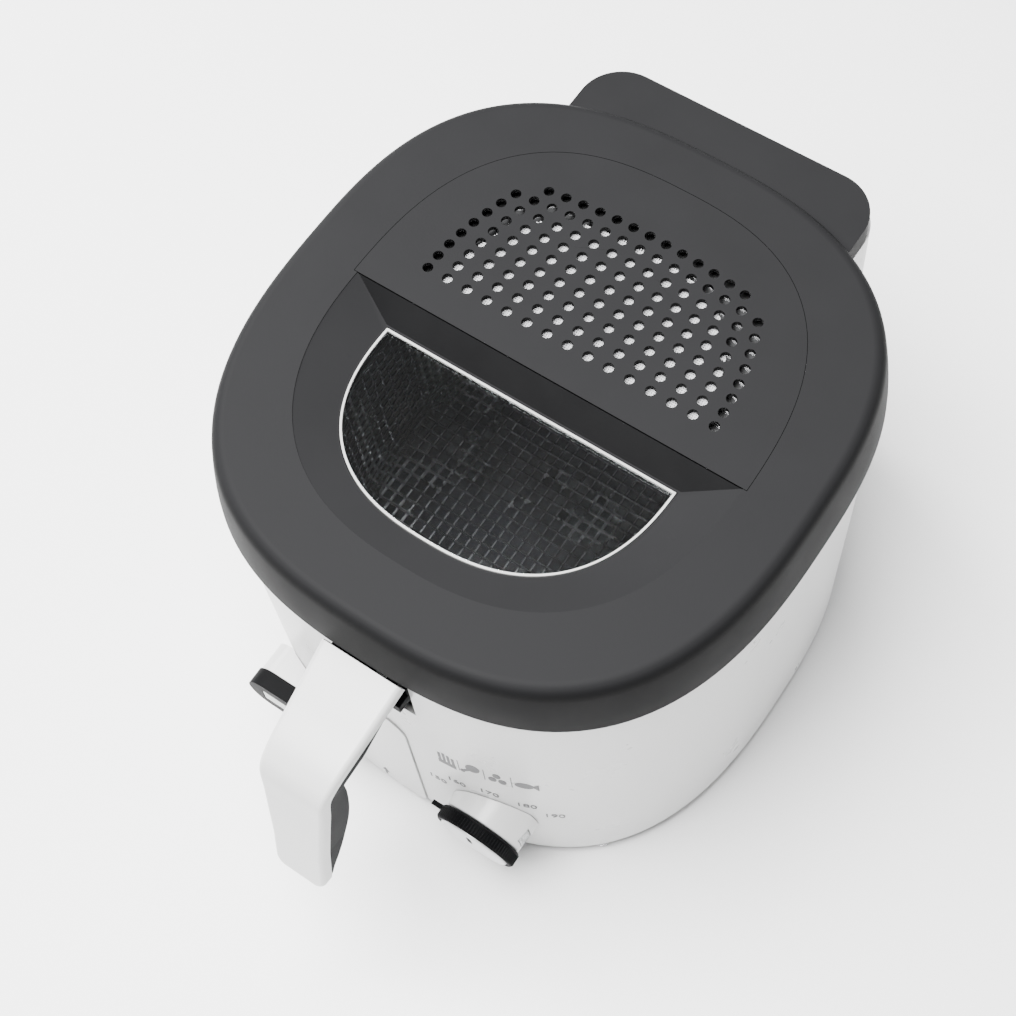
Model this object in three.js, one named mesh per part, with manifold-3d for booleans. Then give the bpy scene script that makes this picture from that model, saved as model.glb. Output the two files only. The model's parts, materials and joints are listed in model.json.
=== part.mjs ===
// Household deep fryer with a hinged, windowed lid, a lifting basket and a front drain tube.
// Millimetres, +Z up, front towards -Y. Everything is built around the lid's centre line and
// the finished group is moved so that the origin lies under the middle of the whole object.
import * as THREE from 'three';
import { mergeVertices } from 'three/addons/utils/BufferGeometryUtils.js';
import Module from 'manifold-3d';

const wasm = await Module();
wasm.setup();

// ---- driving dimensions ---------------------------------------------------------------------
const GAP = 0.4; // between pieces that seat on each other
const OUTLINE_STEPS = 28;
const OUTLINE_POWER = 2.68; // how square the oval plan is

const LID_HALF_WIDTH = 135;
const LID_FRONT = 150;
const LID_REAR = 131;
const LID_HEIGHT = 33;
const LID_WALL = 2.6;
const LID_OVERHANG = 3.5; // lid beyond the casing, all round
const RIM_HEIGHT = 195; // floor to the lid's lower edge

const CASING_WALL = 2.5;
const SIDE_TAPER = 4; // casing narrower at the floor
const FRONT_TAPER = 1.5;
const FOOT_HEIGHT = 5;
const FOOT_RADIUS = 11;
const BASE_THICKNESS = 3;

const REAR_HALF_WIDTH = 76; // housing behind the bowl
const REAR_REACH = 158;
const REAR_CORNER = 22;
const REAR_HEIGHT = RIM_HEIGHT + 8.6;

const BOWL_HALF_WIDTH = 113;
const BOWL_FRONT = 121;
const BOWL_REAR = 109;
const BOWL_FLOOR = 58;
const BOWL_WALL = 1.6;
const BOWL_DRAFT = 7; // bowl narrower at its floor

const BASKET_GAP = 9; // between basket and bowl
const BASKET_TOP = RIM_HEIGHT - 45;
const BASKET_FLOOR = 70;
const BASKET_WALL = 1.5;

const DISH_HALF_WIDTH = 99.5; // recess around the window
const DISH_FRONT = 116;
const STEP_Y = -11.3; // front edge of the filter cover
const FILTER_REAR = 102;
const COVER_THICKNESS = 2.4;

const WINDOW_HALF_WIDTH = 76.5;
const WINDOW_FRONT = 102.5;
const WINDOW_REAR_Y = -22.8;
const WINDOW_DEPTH = 9.2; // straight edge of the window under the lid's top
const WINDOW_RISE = 6.2; // the curved front edge is this much higher

const HINGE_Y = 155;
const HINGE_Z = REAR_HEIGHT - 0.1;
const HINGE_RADIUS = 3.2;
const PIN_RADIUS = 1.5;

const HANDLE_TOP_Z = RIM_HEIGHT - 2; // top of the handle's root
const HANDLE_PIVOT_Z = HANDLE_TOP_Z - 9;
const HANDLE_HALF_WIDTH = 20.7;
const HANDLE_TIP_HALF_WIDTH = 14;
const HANDLE_LIP = 6.5;
const HANDLE_WALL = 2.6;
const LEVER_REACH = 42.5; // hinge to the pin that lifts the basket
const LEVER_DROP = 13.8;
const LIFT_PIN_RADIUS = 1.5;
const LIFT_ANGLE = THREE.MathUtils.degToRad(38); // how far the handle turns up
const STRAP_HALF_WIDTH = 4;
const STRAP_Z = BASKET_TOP + 6;
const STRAP_THICKNESS = 2.6;

const KNOB_X = 49;
const KNOB_Z = 50;
const KNOB_RADIUS = 21.5;
const KNOB_TILT = 6; // degrees, face leaning to the floor
const COLLAR_LENGTH = 8;

const TIMER_X = -61;
const TIMER_Z = 65;
const TIMER_HALF_WIDTH = 21;
const TIMER_HALF_HEIGHT = 10.5;

const DOOR_LEFT = -34;
const DOOR_RIGHT = 8.5;
const DOOR_BOTTOM = 9;
const DOOR_TOP = 117;
const DRAIN_X = -8;
const DRAIN_Z = 66;
const DRAIN_RADIUS = 5;

const BUTTON_ANGLE = 226; // degrees round the casing, on the left front corner
const BUTTON_Z = 160;
const BUTTON_HALF_WIDTH = 19;
const BUTTON_HALF_HEIGHT = 24;

// ---- sizes that follow ----------------------------------------------------------------------
const LID_TOP = RIM_HEIGHT + LID_HEIGHT;
const CASING_TOP = RIM_HEIGHT - GAP;
const CASING_HALF_WIDTH = LID_HALF_WIDTH - LID_OVERHANG;
const CASING_FRONT = LID_FRONT - LID_OVERHANG + 0.5;
const CASING_REAR = LID_REAR - LID_OVERHANG;
const BASE_TOP = FOOT_HEIGHT + BASE_THICKNESS;
const FLANGE_TOP = RIM_HEIGHT - 3;
const FLANGE_BOTTOM = FLANGE_TOP - 1.8;
const HANDLE_PIVOT_Y = -LID_FRONT;

const FINISH = {
  white: { color: 0xeeeeec, roughness: 0.25, metalness: 0 },
  lid: { color: 0x565658, roughness: 0.5, metalness: 0 },
  black: { color: 0x242426, roughness: 0.5, metalness: 0 },
  rubber: { color: 0x303032, roughness: 0.9, metalness: 0 },
  seal: { color: 0xa8a8a4, roughness: 0.7, metalness: 0 },
  steel: { color: 0xb8bac0, roughness: 0.3, metalness: 1 },
  enamel: { color: 0x3a3b3e, roughness: 0.4, metalness: 0.6 },
  aluminium: { color: 0xc8c9cc, roughness: 0.4, metalness: 1 },
  glass: { color: 0xdfe8ea, roughness: 0.05, metalness: 0 },
  amber: { color: 0xd9822b, roughness: 0.2, metalness: 0 },
  charcoal: { color: 0x1c1c1d, roughness: 1, metalness: 0 },
  silver: { color: 0xb9babb, roughness: 0.4, metalness: 0.3 },
};

// ---- shape helpers --------------------------------------------------------------------------
const fryer = new THREE.Group();

function toSolid(geometry, matrix) {
  const bare = geometry.clone();
  bare.deleteAttribute('normal');
  bare.deleteAttribute('uv');
  if (matrix) bare.applyMatrix4(matrix);
  const merged = mergeVertices(bare, 1e-4);
  return new wasm.Manifold(new wasm.Mesh({
    numProp: 3,
    vertProperties: new Float32Array(merged.attributes.position.array),
    triVerts: new Uint32Array(merged.index.array),
  }));
}

function add(name, solid, finish, parent = fryer) {
  const mesh = solid.getMesh();
  const geometry = new THREE.BufferGeometry();
  geometry.setAttribute('position', new THREE.BufferAttribute(new Float32Array(mesh.vertProperties), 3));
  geometry.setIndex(new THREE.BufferAttribute(new Uint32Array(mesh.triVerts), 1));
  geometry.computeVertexNormals();
  const piece = new THREE.Mesh(geometry, new THREE.MeshStandardMaterial(finish));
  piece.name = name;
  parent.add(piece);
  return piece;
}

function all(...solids) {
  return solids.reduce((whole, solid) => whole.add(solid));
}

// A closed skin over rings of equal count, lowest ring first, each running anticlockwise.
function loft(rings) {
  const count = rings[0].length;
  const positions = [];
  const faces = [];
  for (const ring of rings) {
    for (const point of ring) positions.push(point.x, point.y, point.z);
  }
  for (let level = 0; level + 1 < rings.length; level++) {
    for (let i = 0; i < count; i++) {
      const next = (i + 1) % count;
      const [a, b] = [level * count + i, level * count + next];
      faces.push(a, b, b + count, a, b + count, a + count);
    }
  }
  for (const [ring, start, top] of [[rings[0], 0, false], [rings.at(-1), (rings.length - 1) * count,
    true]]) {
    const middle = ring.reduce((sum, point) => sum.add(point), new THREE.Vector3()).divideScalar(count);
    const centre = positions.length / 3;
    positions.push(middle.x, middle.y, middle.z);
    for (let i = 0; i < count; i++) {
      const [a, b] = [start + i, start + ((i + 1) % count)];
      faces.push(...(top ? [a, b, centre] : [b, a, centre]));
    }
  }
  const geometry = new THREE.BufferGeometry();
  geometry.setAttribute('position', new THREE.Float32BufferAttribute(positions, 3));
  geometry.setIndex(faces);
  return toSolid(geometry);
}

function power(value, exponent) {
  return Math.sign(value) * Math.abs(value) ** exponent;
}

function oval(halfWidth, front, rear, z, steps = OUTLINE_STEPS) {
  const ring = [];
  for (let i = 0; i < steps; i++) {
    const angle = (2 * Math.PI * i) / steps;
    const y = power(Math.sin(angle), 2 / OUTLINE_POWER);
    ring.push(new THREE.Vector3(
      halfWidth * power(Math.cos(angle), 2 / OUTLINE_POWER),
      y * (y < 0 ? front : rear),
      z,
    ));
  }
  return ring;
}

// A D: one straight edge along X at straightY, the rest a squarish half oval reaching tipY.
function dee(halfWidth, straightY, tipY, height, squareness = 2.45, steps = 12) {
  const ring = [];
  for (let i = 0; i <= steps; i++) {
    const angle = (Math.PI * i) / steps;
    const x = halfWidth * power(Math.cos(angle), 2 / squareness);
    const y = straightY + (tipY - straightY) * power(Math.sin(angle), 2 / squareness);
    ring.push(new THREE.Vector3(x, y, height(y)));
  }
  return tipY < straightY ? ring.reverse() : ring;
}

function box(x0, x1, y0, y1, z0, z1) {
  const move = new THREE.Matrix4().makeTranslation((x0 + x1) / 2, (y0 + y1) / 2, (z0 + z1) / 2);
  return toSolid(new THREE.BoxGeometry(x1 - x0, y1 - y0, z1 - z0), move);
}

const Y_UP = new THREE.Vector3(0, 1, 0);

function alongLine(from, to) {
  const direction = new THREE.Vector3().subVectors(to, from).normalize();
  const turn = new THREE.Quaternion().setFromUnitVectors(Y_UP, direction);
  return new THREE.Matrix4().compose(from, turn, new THREE.Vector3(1, 1, 1));
}

function v(x, y, z) {
  return new THREE.Vector3(x, y, z);
}

function rod(from, to, radius, sides = 12, endRadius = radius) {
  const length = from.distanceTo(to);
  const geometry = new THREE.CylinderGeometry(endRadius, radius, length, sides).translate(0, length / 2, 0);
  return toSolid(geometry, alongLine(from, to));
}

function pipe(from, to, outer, inner, sides = 12) {
  const reach = new THREE.Vector3().subVectors(to, from).setLength(1);
  return rod(from, to, outer, sides).subtract(rod(from.clone().sub(reach), to.clone().add(reach), inner,
    sides));
}

// Profile of [radius, distance] turned about the line from one point towards another.
function turned(profile, from, to, sides = 24) {
  const points = profile.map(([radius, distance]) => new THREE.Vector2(radius, distance));
  return toSolid(new THREE.LatheGeometry(points, sides), alongLine(from, to));
}

function extruded(shape, depth, matrix, curveSegments = 5) {
  return toSolid(new THREE.ExtrudeGeometry(shape, { depth, bevelEnabled: false, curveSegments }), matrix);
}

function bentTube(points, radius, steps, sides = 6, closed = false) {
  const section = new THREE.Shape();
  for (let i = 0; i < sides; i++) {
    const angle = (2 * Math.PI * i) / sides;
    section[i ? 'lineTo' : 'moveTo'](radius * Math.cos(angle), radius * Math.sin(angle));
  }
  const path = new THREE.CatmullRomCurve3(points, closed);
  return toSolid(new THREE.ExtrudeGeometry(section, { steps, extrudePath: path }));
}

function roundedShape(x0, x1, y0, y1, [lowLeft, lowRight, highRight, highLeft]) {
  const shape = new THREE.Shape();
  shape.moveTo(x0 + lowLeft, y0);
  shape.lineTo(x1 - lowRight, y0);
  if (lowRight) shape.absarc(x1 - lowRight, y0 + lowRight, lowRight, -Math.PI / 2, 0);
  shape.lineTo(x1, y1 - highRight);
  if (highRight) shape.absarc(x1 - highRight, y1 - highRight, highRight, 0, Math.PI / 2);
  shape.lineTo(x0 + highLeft, y1);
  if (highLeft) shape.absarc(x0 + highLeft, y1 - highLeft, highLeft, Math.PI / 2, Math.PI);
  shape.lineTo(x0, y0 + lowLeft);
  if (lowLeft) shape.absarc(x0 + lowLeft, y0 + lowLeft, lowLeft, Math.PI, 1.5 * Math.PI);
  return shape;
}

// Stands a shape drawn as (x, z) up in the XZ plane, with its thickness running from y to y + depth.
function upright(y, depth) {
  return new THREE.Matrix4().makeTranslation(0, y + depth, 0)
    .multiply(new THREE.Matrix4().makeRotationX(Math.PI / 2));
}

// ---- casing and base ------------------------------------------------------------------------
function casingRing(z, inset = 0) {
  const drop = 1 - (z - FOOT_HEIGHT) / (CASING_TOP - FOOT_HEIGHT);
  return oval(
    CASING_HALF_WIDTH - SIDE_TAPER * drop - inset,
    CASING_FRONT - FRONT_TAPER * drop - inset,
    CASING_REAR - SIDE_TAPER * drop - inset,
    z,
  );
}

function casingBlock(inset, low = FOOT_HEIGHT, high = CASING_TOP) {
  return loft([casingRing(low, inset), casingRing(high, inset)]);
}

function casingFaceY(x) {
  const across = Math.abs(x / CASING_HALF_WIDTH) ** OUTLINE_POWER;
  return -CASING_FRONT * (1 - across) ** (1 / OUTLINE_POWER);
}

function housingBlock(inset, low, high) {
  const corner = REAR_CORNER - inset;
  const shape = roundedShape(
    inset - REAR_HALF_WIDTH, REAR_HALF_WIDTH - inset, CASING_REAR - 50, REAR_REACH - inset,
    [0, 0, corner, corner],
  );
  return extruded(shape, high - low, new THREE.Matrix4().makeTranslation(0, 0, low));
}

const lidClearance = loft([
  oval(LID_HALF_WIDTH + 0.7, LID_FRONT + 0.7, LID_REAR + 0.7, CASING_TOP),
  oval(LID_HALF_WIDTH + 0.7, LID_FRONT + 0.7, LID_REAR + 0.7, LID_TOP),
]);

const DOOR_CORNERS = [4, 4, 14, 3];
function doorBlock(grow, y, depth) {
  const shape = roundedShape(
    DOOR_LEFT - grow, DOOR_RIGHT + grow, DOOR_BOTTOM - grow, DOOR_TOP + grow,
    DOOR_CORNERS.map((radius) => radius + grow),
  );
  return extruded(shape, depth, upright(y, depth));
}

const doorHinge = { x: DOOR_LEFT - 0.6, y: casingFaceY(DOOR_LEFT) - 1.4 };
const DOOR_LUG_RADIUS = 2.1;
const DOOR_PIN_RADIUS = 0.9;
const DOOR_LUGS = [[26, 34], [92, 100]]; // heights of the casing's two lugs
const DOOR_BARRELS = [[34 + GAP, 44], [82, 92 - GAP]]; // and of the door's
function doorLug(low, high, towards) {
  const barrel = rod(v(doorHinge.x, doorHinge.y, low), v(doorHinge.x, doorHinge.y, high), DOOR_LUG_RADIUS,
    10);
  const [near, far] = [doorHinge.x + towards * 0.7, doorHinge.x + towards * 4];
  const web = box(
    Math.min(near, far), Math.max(near, far),
    doorHinge.y, doorHinge.y + 5, low, high,
  );
  return barrel.add(web);
}
function doorLugSpace(low, high) {
  return rod(v(doorHinge.x, doorHinge.y, low - GAP), v(doorHinge.x, doorHinge.y, high + GAP),
    DOOR_LUG_RADIUS + GAP, 10);
}
const doorPinHole = rod(v(doorHinge.x, doorHinge.y, 0), v(doorHinge.x, doorHinge.y, DOOR_TOP),
  DOOR_PIN_RADIUS + GAP, 8);

// Hinge barrels along the rear edge: the casing's at the ends and middle, the lid's between them.
const CASING_BARRELS = [[-60, -44], [-8, 8], [44, 60]];
const LID_BARRELS = [[-43.5, -28], [28, 43.5]];
function hingeBarrel([x0, x1], radius) {
  return rod(v(x0, HINGE_Y, HINGE_Z), v(x1, HINGE_Y, HINGE_Z), radius, 12);
}
const hingeBore = hingeBarrel([-70, 70], PIN_RADIUS + GAP);
const springSeat = [-27.5, -8.5];

const buttonAngle = (BUTTON_ANGLE * Math.PI) / 180;
const buttonOut = v(
  power(Math.cos(buttonAngle), (2 * (OUTLINE_POWER - 1)) / OUTLINE_POWER) / CASING_HALF_WIDTH,
  power(Math.sin(buttonAngle), (2 * (OUTLINE_POWER - 1)) / OUTLINE_POWER) / CASING_FRONT,
  0,
).normalize();
const buttonCentre = v(
  CASING_HALF_WIDTH * power(Math.cos(buttonAngle), 2 / OUTLINE_POWER),
  CASING_FRONT * power(Math.sin(buttonAngle), 2 / OUTLINE_POWER),
  BUTTON_Z,
);
function buttonBlock(grow, start, end) {
  const shape = new THREE.Shape();
  shape.absellipse(0, 0, BUTTON_HALF_WIDTH + grow, BUTTON_HALF_HEIGHT + grow, 0, 2 * Math.PI);
  const frame = new THREE.Matrix4().makeBasis(v(-buttonOut.y, buttonOut.x, 0), v(0, 0, 1), buttonOut);
  frame.setPosition(buttonCentre.clone().addScaledVector(buttonOut, start));
  return extruded(shape, end - start, frame, 24);
}

// A block beside the release button: along the wall, outward from it, and by height.
function atButton(x0, x1, out0, out1, z0, z1) {
  const frame = new THREE.Matrix4().makeBasis(v(-buttonOut.y, buttonOut.x, 0), v(0, 0, 1), buttonOut);
  frame.setPosition(buttonCentre.clone().setZ(0));
  const centred = new THREE.Matrix4().makeTranslation((x0 + x1) / 2, (z0 + z1) / 2, (out0 + out1) / 2);
  return toSolid(new THREE.BoxGeometry(x1 - x0, z1 - z0, out1 - out0), frame.multiply(centred));
}
const catchSlot = atButton(-8, 8, -13, -5, FLANGE_BOTTOM - 6, RIM_HEIGHT);

// Screw bosses stand against the casing's wall, this far in from its outer face.
const BOSS_INWARD = 7.2;
const screwSpots = [-131, -49, 131, 49].map((degrees) => {
  const [c, s] = [Math.cos, Math.sin].map((wave) => wave(THREE.MathUtils.degToRad(degrees)));
  const depth = s < 0 ? CASING_FRONT : CASING_REAR;
  const slope = (2 * (OUTLINE_POWER - 1)) / OUTLINE_POWER;
  const out = v(power(c, slope) / CASING_HALF_WIDTH, power(s, slope) / depth, 0).normalize();
  return [
    CASING_HALF_WIDTH * power(c, 2 / OUTLINE_POWER) - out.x * BOSS_INWARD,
    depth * power(s, 2 / OUTLINE_POWER) - out.y * BOSS_INWARD,
  ];
});
const footSpots = [[-74, -90], [74, -90], [-74, 80], [74, 80]];
const SCREW_RADIUS = 1.8;

const knobOut = v(0, -Math.cos(THREE.MathUtils.degToRad(KNOB_TILT)),
  -Math.sin(THREE.MathUtils.degToRad(KNOB_TILT)));
const knobBase = v(KNOB_X, casingFaceY(KNOB_X), KNOB_Z);
function knobPoint(distance) {
  return knobBase.clone().addScaledVector(knobOut, distance);
}

function timerBlock(grow, start, end) {
  const radius = TIMER_HALF_HEIGHT + grow;
  const shape = roundedShape(
    TIMER_X - TIMER_HALF_WIDTH - grow, TIMER_X + TIMER_HALF_WIDTH + grow,
    TIMER_Z - TIMER_HALF_HEIGHT - grow, TIMER_Z + TIMER_HALF_HEIGHT + grow,
    [radius, radius, radius, radius].map((corner) => corner - 0.01),
  );
  return extruded(shape, end - start, upright(timerFaceY - end, end - start), 8);
}
const timerFaceY = casingFaceY(TIMER_X);

const GUIDE_HALF_WIDTH = HANDLE_HALF_WIDTH - 1.2;
const GUIDE_BOTTOM = STRAP_Z - 6;
const EAR_RADIUS = 5.4;
const EAR_HALF_WIDTH = HANDLE_HALF_WIDTH - HANDLE_WALL - 1;
const rootNotch = box(-HANDLE_HALF_WIDTH - 0.8, HANDLE_HALF_WIDTH + 0.8, -CASING_FRONT - 2,
  -CASING_FRONT + 8,
  HANDLE_PIVOT_Z, RIM_HEIGHT + 2);

function outerCasing() {
  const skin = loft([
    casingRing(FOOT_HEIGHT, 4), casingRing(FOOT_HEIGHT + 2.5, 1.2),
    casingRing(FOOT_HEIGHT + 7, 0), casingRing(CASING_TOP, 0),
  ]);
  const outside = all(
    skin, housingBlock(0, FOOT_HEIGHT, REAR_HEIGHT),
    ...CASING_BARRELS.map((span) => hingeBarrel(span, HINGE_RADIUS)),
    ...DOOR_LUGS.map(([low, high]) => doorLug(low, high, -1)),
  ).subtract(lidClearance);
  const hollow = casingBlock(CASING_WALL, FOOT_HEIGHT - 1, RIM_HEIGHT + 1);
  const rearHollow = housingBlock(CASING_WALL, FOOT_HEIGHT - 1, REAR_HEIGHT - CASING_WALL)
    .subtract(casingBlock(0, BASE_TOP + GAP, REAR_HEIGHT));
  const bosses = all(...screwSpots.map(([x, y]) => rod(v(x, y, BASE_TOP + GAP), v(x, y, 26), 6, 8)));
  const spring = hingeBarrel(springSeat, HINGE_RADIUS + 2.2);
  return outside.subtract(hollow).subtract(rearHollow)
    .add(bosses.intersect(casingBlock(1, BASE_TOP, 30)))
    .subtract(all(...screwSpots.map(([x, y]) => rod(v(x, y, 0), v(x, y, 24), SCREW_RADIUS + GAP, 8))))
    .subtract(all(...LID_BARRELS.map(([x0, x1]) => hingeBarrel([x0 - GAP, x1 + GAP], HINGE_RADIUS + 0.7))))
    .subtract(hingeBore).subtract(spring)
    .subtract(doorBlock(GAP, -CASING_FRONT - 4, 12))
    .subtract(doorPinHole).subtract(all(...DOOR_BARRELS.map(([low, high]) => doorLugSpace(low, high))))
    .subtract(box(-GUIDE_HALF_WIDTH - GAP, GUIDE_HALF_WIDTH + GAP, -CASING_FRONT - 2, -CASING_FRONT + 8,
      GUIDE_BOTTOM - GAP, RIM_HEIGHT + 1))
    .subtract(rootNotch)
    .subtract(buttonBlock(GAP, -8, 4))
    .subtract(rod(knobPoint(-8), knobPoint(4), 6, 12))
    .subtract(timerBlock(-4, -9, 2))
    .subtract(box(-30, 30, CASING_REAR - 8, CASING_REAR + 2, BASE_TOP - 1, 44))
    .subtract(rod(glandCentre.clone().setY(REAR_REACH - 6), glandCentre.clone().setY(REAR_REACH + 2), 6.4,
      12));
}

const glandCentre = v(34, REAR_REACH, 24);

function basePlate() {
  const inset = CASING_WALL + GAP;
  const plate = casingBlock(inset, FOOT_HEIGHT, BASE_TOP).add(housingBlock(inset, FOOT_HEIGHT, BASE_TOP));
  const vents = [-60, -36, -12, 12, 36, 60].map((x) => box(x - 3, x + 3, -40, 40, 0, BASE_TOP + 2));
  const holes = screwSpots.map(([x, y]) => rod(v(x, y, 0), v(x, y, 12), SCREW_RADIUS + GAP, 8));
  const sockets = footSpots.map(([x, y]) => rod(v(x, y, 0), v(x, y, 12), 4 + GAP, 8));
  return plate.subtract(all(...vents, ...holes, ...sockets));
}

add('outer_casing', outerCasing(), FINISH.white);
add('base_plate', basePlate(), FINISH.black);
footSpots.forEach(([x, y], i) => {
  const profile = [
    [0, 0], [FOOT_RADIUS, 0], [FOOT_RADIUS - 1, FOOT_HEIGHT - GAP],
    [4, FOOT_HEIGHT - GAP], [4, BASE_TOP + 1], [0, BASE_TOP + 1],
  ];
  const foot = add(`foot_${i + 1}`, turned(profile, v(0, 0, 0), v(0, 0, 1), 12), FINISH.rubber);
  foot.position.set(x, y, 0);
});
screwSpots.forEach(([x, y], i) => {
  const profile = [
    [0, 2.6], [3.2, 2.6], [3.6, 3.4], [3.6, FOOT_HEIGHT - GAP], [SCREW_RADIUS, FOOT_HEIGHT - GAP],
    [SCREW_RADIUS, 20], [0, 22],
  ];
  const screw = add(`base_screw_${i + 1}`, turned(profile, v(0, 0, 0), v(0, 0, 1), 10), FINISH.steel);
  screw.position.set(x, y, 0);
});

// ---- bowl, heater and electrics -------------------------------------------------------------
function bowlRing(z, inset = 0) {
  const drop = (FLANGE_TOP - z) / (FLANGE_TOP - BOWL_FLOOR);
  const shrink = BOWL_DRAFT * drop + inset;
  return oval(BOWL_HALF_WIDTH - shrink, BOWL_FRONT - shrink, BOWL_REAR - shrink, z);
}

const NOTCH_HALF_WIDTH = STRAP_HALF_WIDTH + 3;
const NOTCH_BOTTOM = STRAP_Z - 5;
const strapNotch = box(-NOTCH_HALF_WIDTH, NOTCH_HALF_WIDTH, -BOWL_FRONT - 40, -BOWL_FRONT + 12,
  NOTCH_BOTTOM, RIM_HEIGHT + 4);
const spoutEnd = -BOWL_FRONT - 3;

function oilBowl() {
  const outside = loft([
    bowlRing(BOWL_FLOOR, 10), bowlRing(BOWL_FLOOR + 3, 3), bowlRing(BOWL_FLOOR + 9, 0),
      bowlRing(FLANGE_TOP, 0),
  ]);
  const inside = loft([
    bowlRing(BOWL_FLOOR + BOWL_WALL, 10 + BOWL_WALL * 0.6), bowlRing(BOWL_FLOOR + BOWL_WALL + 3,
      3 + BOWL_WALL),
    bowlRing(BOWL_FLOOR + BOWL_WALL + 9, BOWL_WALL), bowlRing(FLANGE_TOP + 1, BOWL_WALL),
  ]);
  const reach = CASING_WALL + GAP;
  const flange = casingBlock(reach, FLANGE_BOTTOM, FLANGE_TOP);
  const spout = rod(v(DRAIN_X, -BOWL_FRONT + 20, DRAIN_Z), v(DRAIN_X, spoutEnd, DRAIN_Z), DRAIN_RADIUS, 12);
  const bore = rod(v(DRAIN_X, -BOWL_FRONT + 24, DRAIN_Z), v(DRAIN_X, spoutEnd - 1, DRAIN_Z),
    DRAIN_RADIUS - 1.4, 12);
  return all(outside, flange, spout).subtract(inside).subtract(bore).subtract(strapNotch)
    .subtract(box(-GUIDE_HALF_WIDTH - GAP, GUIDE_HALF_WIDTH + GAP, -CASING_FRONT - 2, -BOWL_FRONT - 3,
      FLANGE_BOTTOM - 2, RIM_HEIGHT)).subtract(rootNotch).subtract(catchSlot);
}
add('oil_bowl', oilBowl(), FINISH.enamel);

function rimRing() {
  const high = FLANGE_BOTTOM - GAP;
  const low = high - 4;
  const inner = loft([bowlRing(low - 1, -GAP), bowlRing(FLANGE_TOP, -GAP)]);
  return casingBlock(CASING_WALL + GAP, low, high).subtract(inner)
    .subtract(box(-GUIDE_HALF_WIDTH - GAP, GUIDE_HALF_WIDTH + GAP, -CASING_FRONT, -BOWL_FRONT - 3,
      low - 1, high + 1))
    .subtract(strapNotch).subtract(rootNotch).subtract(catchSlot);
}
add('rim_ring', rimRing(), FINISH.black);

const HEATER_RADIUS = 3.5;
const heaterZ = BOWL_FLOOR - HEATER_RADIUS - 0.5;
const heaterPath = [
  v(-9, 96, heaterZ - 14), v(-10, 84, heaterZ - 3), v(-14, 72, heaterZ), v(-40, 66, heaterZ), v(-66, 46,
    heaterZ),
  v(-74, 0, heaterZ), v(-64, -54, heaterZ), v(-34, -76, heaterZ), v(0, -80, heaterZ), v(34, -76, heaterZ),
  v(64, -54, heaterZ), v(74, 0, heaterZ), v(66, 46, heaterZ), v(40, 66, heaterZ), v(14, 72, heaterZ),
  v(10, 84, heaterZ - 3), v(9, 96, heaterZ - 14),
];
add('heating_element', bentTube(heaterPath, HEATER_RADIUS, 32), FINISH.steel);

function heatShield() {
  const floor = heaterZ - HEATER_RADIUS - 8;
  const size = (inset, z) => oval(94 - inset, 99 - inset, 80 - inset, z);
  const tray = loft([size(4, floor), size(0, floor + 6)]);
  return tray.subtract(loft([size(5, floor + 1.5), size(1.5, floor + 7)]));
}
add('heat_shield', heatShield(), FINISH.aluminium);

const cutoutTop = heaterZ - HEATER_RADIUS - 8 - GAP;
add('safety_cutout', rod(v(40, 30, cutoutTop - 9), v(40, 30, cutoutTop), 9, 12), FINISH.silver);
add('terminal_block', box(-18, 18, 136, 148, BASE_TOP + GAP, 34), FINISH.white);

function cordGland() {
  const collar = pipe(glandCentre.clone().setY(REAR_REACH + GAP),
    glandCentre.clone().setY(REAR_REACH + 4), 9, 3.4);
  const sleeve = pipe(glandCentre.clone().setY(REAR_REACH - 10), glandCentre.clone().setY(REAR_REACH + 2),
    5.8, 3.4);
  return collar.add(sleeve);
}
add('cord_gland', cordGland(), FINISH.rubber);

function thermostatBody() {
  const front = casingFaceY(KNOB_X + 15) + CASING_WALL + FRONT_TAPER + 2;
  const body = box(KNOB_X - 15, KNOB_X + 15, front, front + 18, KNOB_Z - 14, KNOB_Z + 14);
  const bush = rod(knobPoint(-CASING_WALL - 12), knobPoint(-CASING_WALL - 2), 4.6, 12);
  return body.add(bush).subtract(rod(knobPoint(-CASING_WALL - 9), knobPoint(0), 3 + GAP, 12));
}
add('thermostat_body', thermostatBody(), FINISH.silver);

const capillary = [
  v(KNOB_X + 8, casingFaceY(KNOB_X) + 18, KNOB_Z + 15.4), v(KNOB_X + 14, -118, KNOB_Z + 26), v(78, -102,
    82),
  v(100, -80, 96), v(110, -40, 104), v(111, -6, 104),
];
add('sensor_capillary', bentTube(capillary, 1.3, 14, 5), FINISH.steel);

// ---- thermostat knob ------------------------------------------------------------------------
const lensFront = knobBase.y - COLLAR_LENGTH + 2.6;
const lensBack = knobBase.y + 2;
function knobCollar() {
  const profile = [
    [5, -8], [KNOB_RADIUS - 0.5, -8], [KNOB_RADIUS - 1.5, COLLAR_LENGTH], [5, COLLAR_LENGTH],
    [5, COLLAR_LENGTH - 2], [KNOB_RADIUS - 4, COLLAR_LENGTH - 2], [KNOB_RADIUS - 3.4, -6.5], [5, -6.5],
      [5, -8],
  ];
  const lensSlot = box(KNOB_X + 12, KNOB_X + 30, lensFront, lensBack, KNOB_Z - 7, KNOB_Z + 7);
  return turned(profile, knobPoint(0), knobPoint(1), 28)
    .subtract(casingBlock(-0.3)).subtract(lensSlot);
}
add('thermostat_collar', knobCollar(), FINISH.white);

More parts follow.
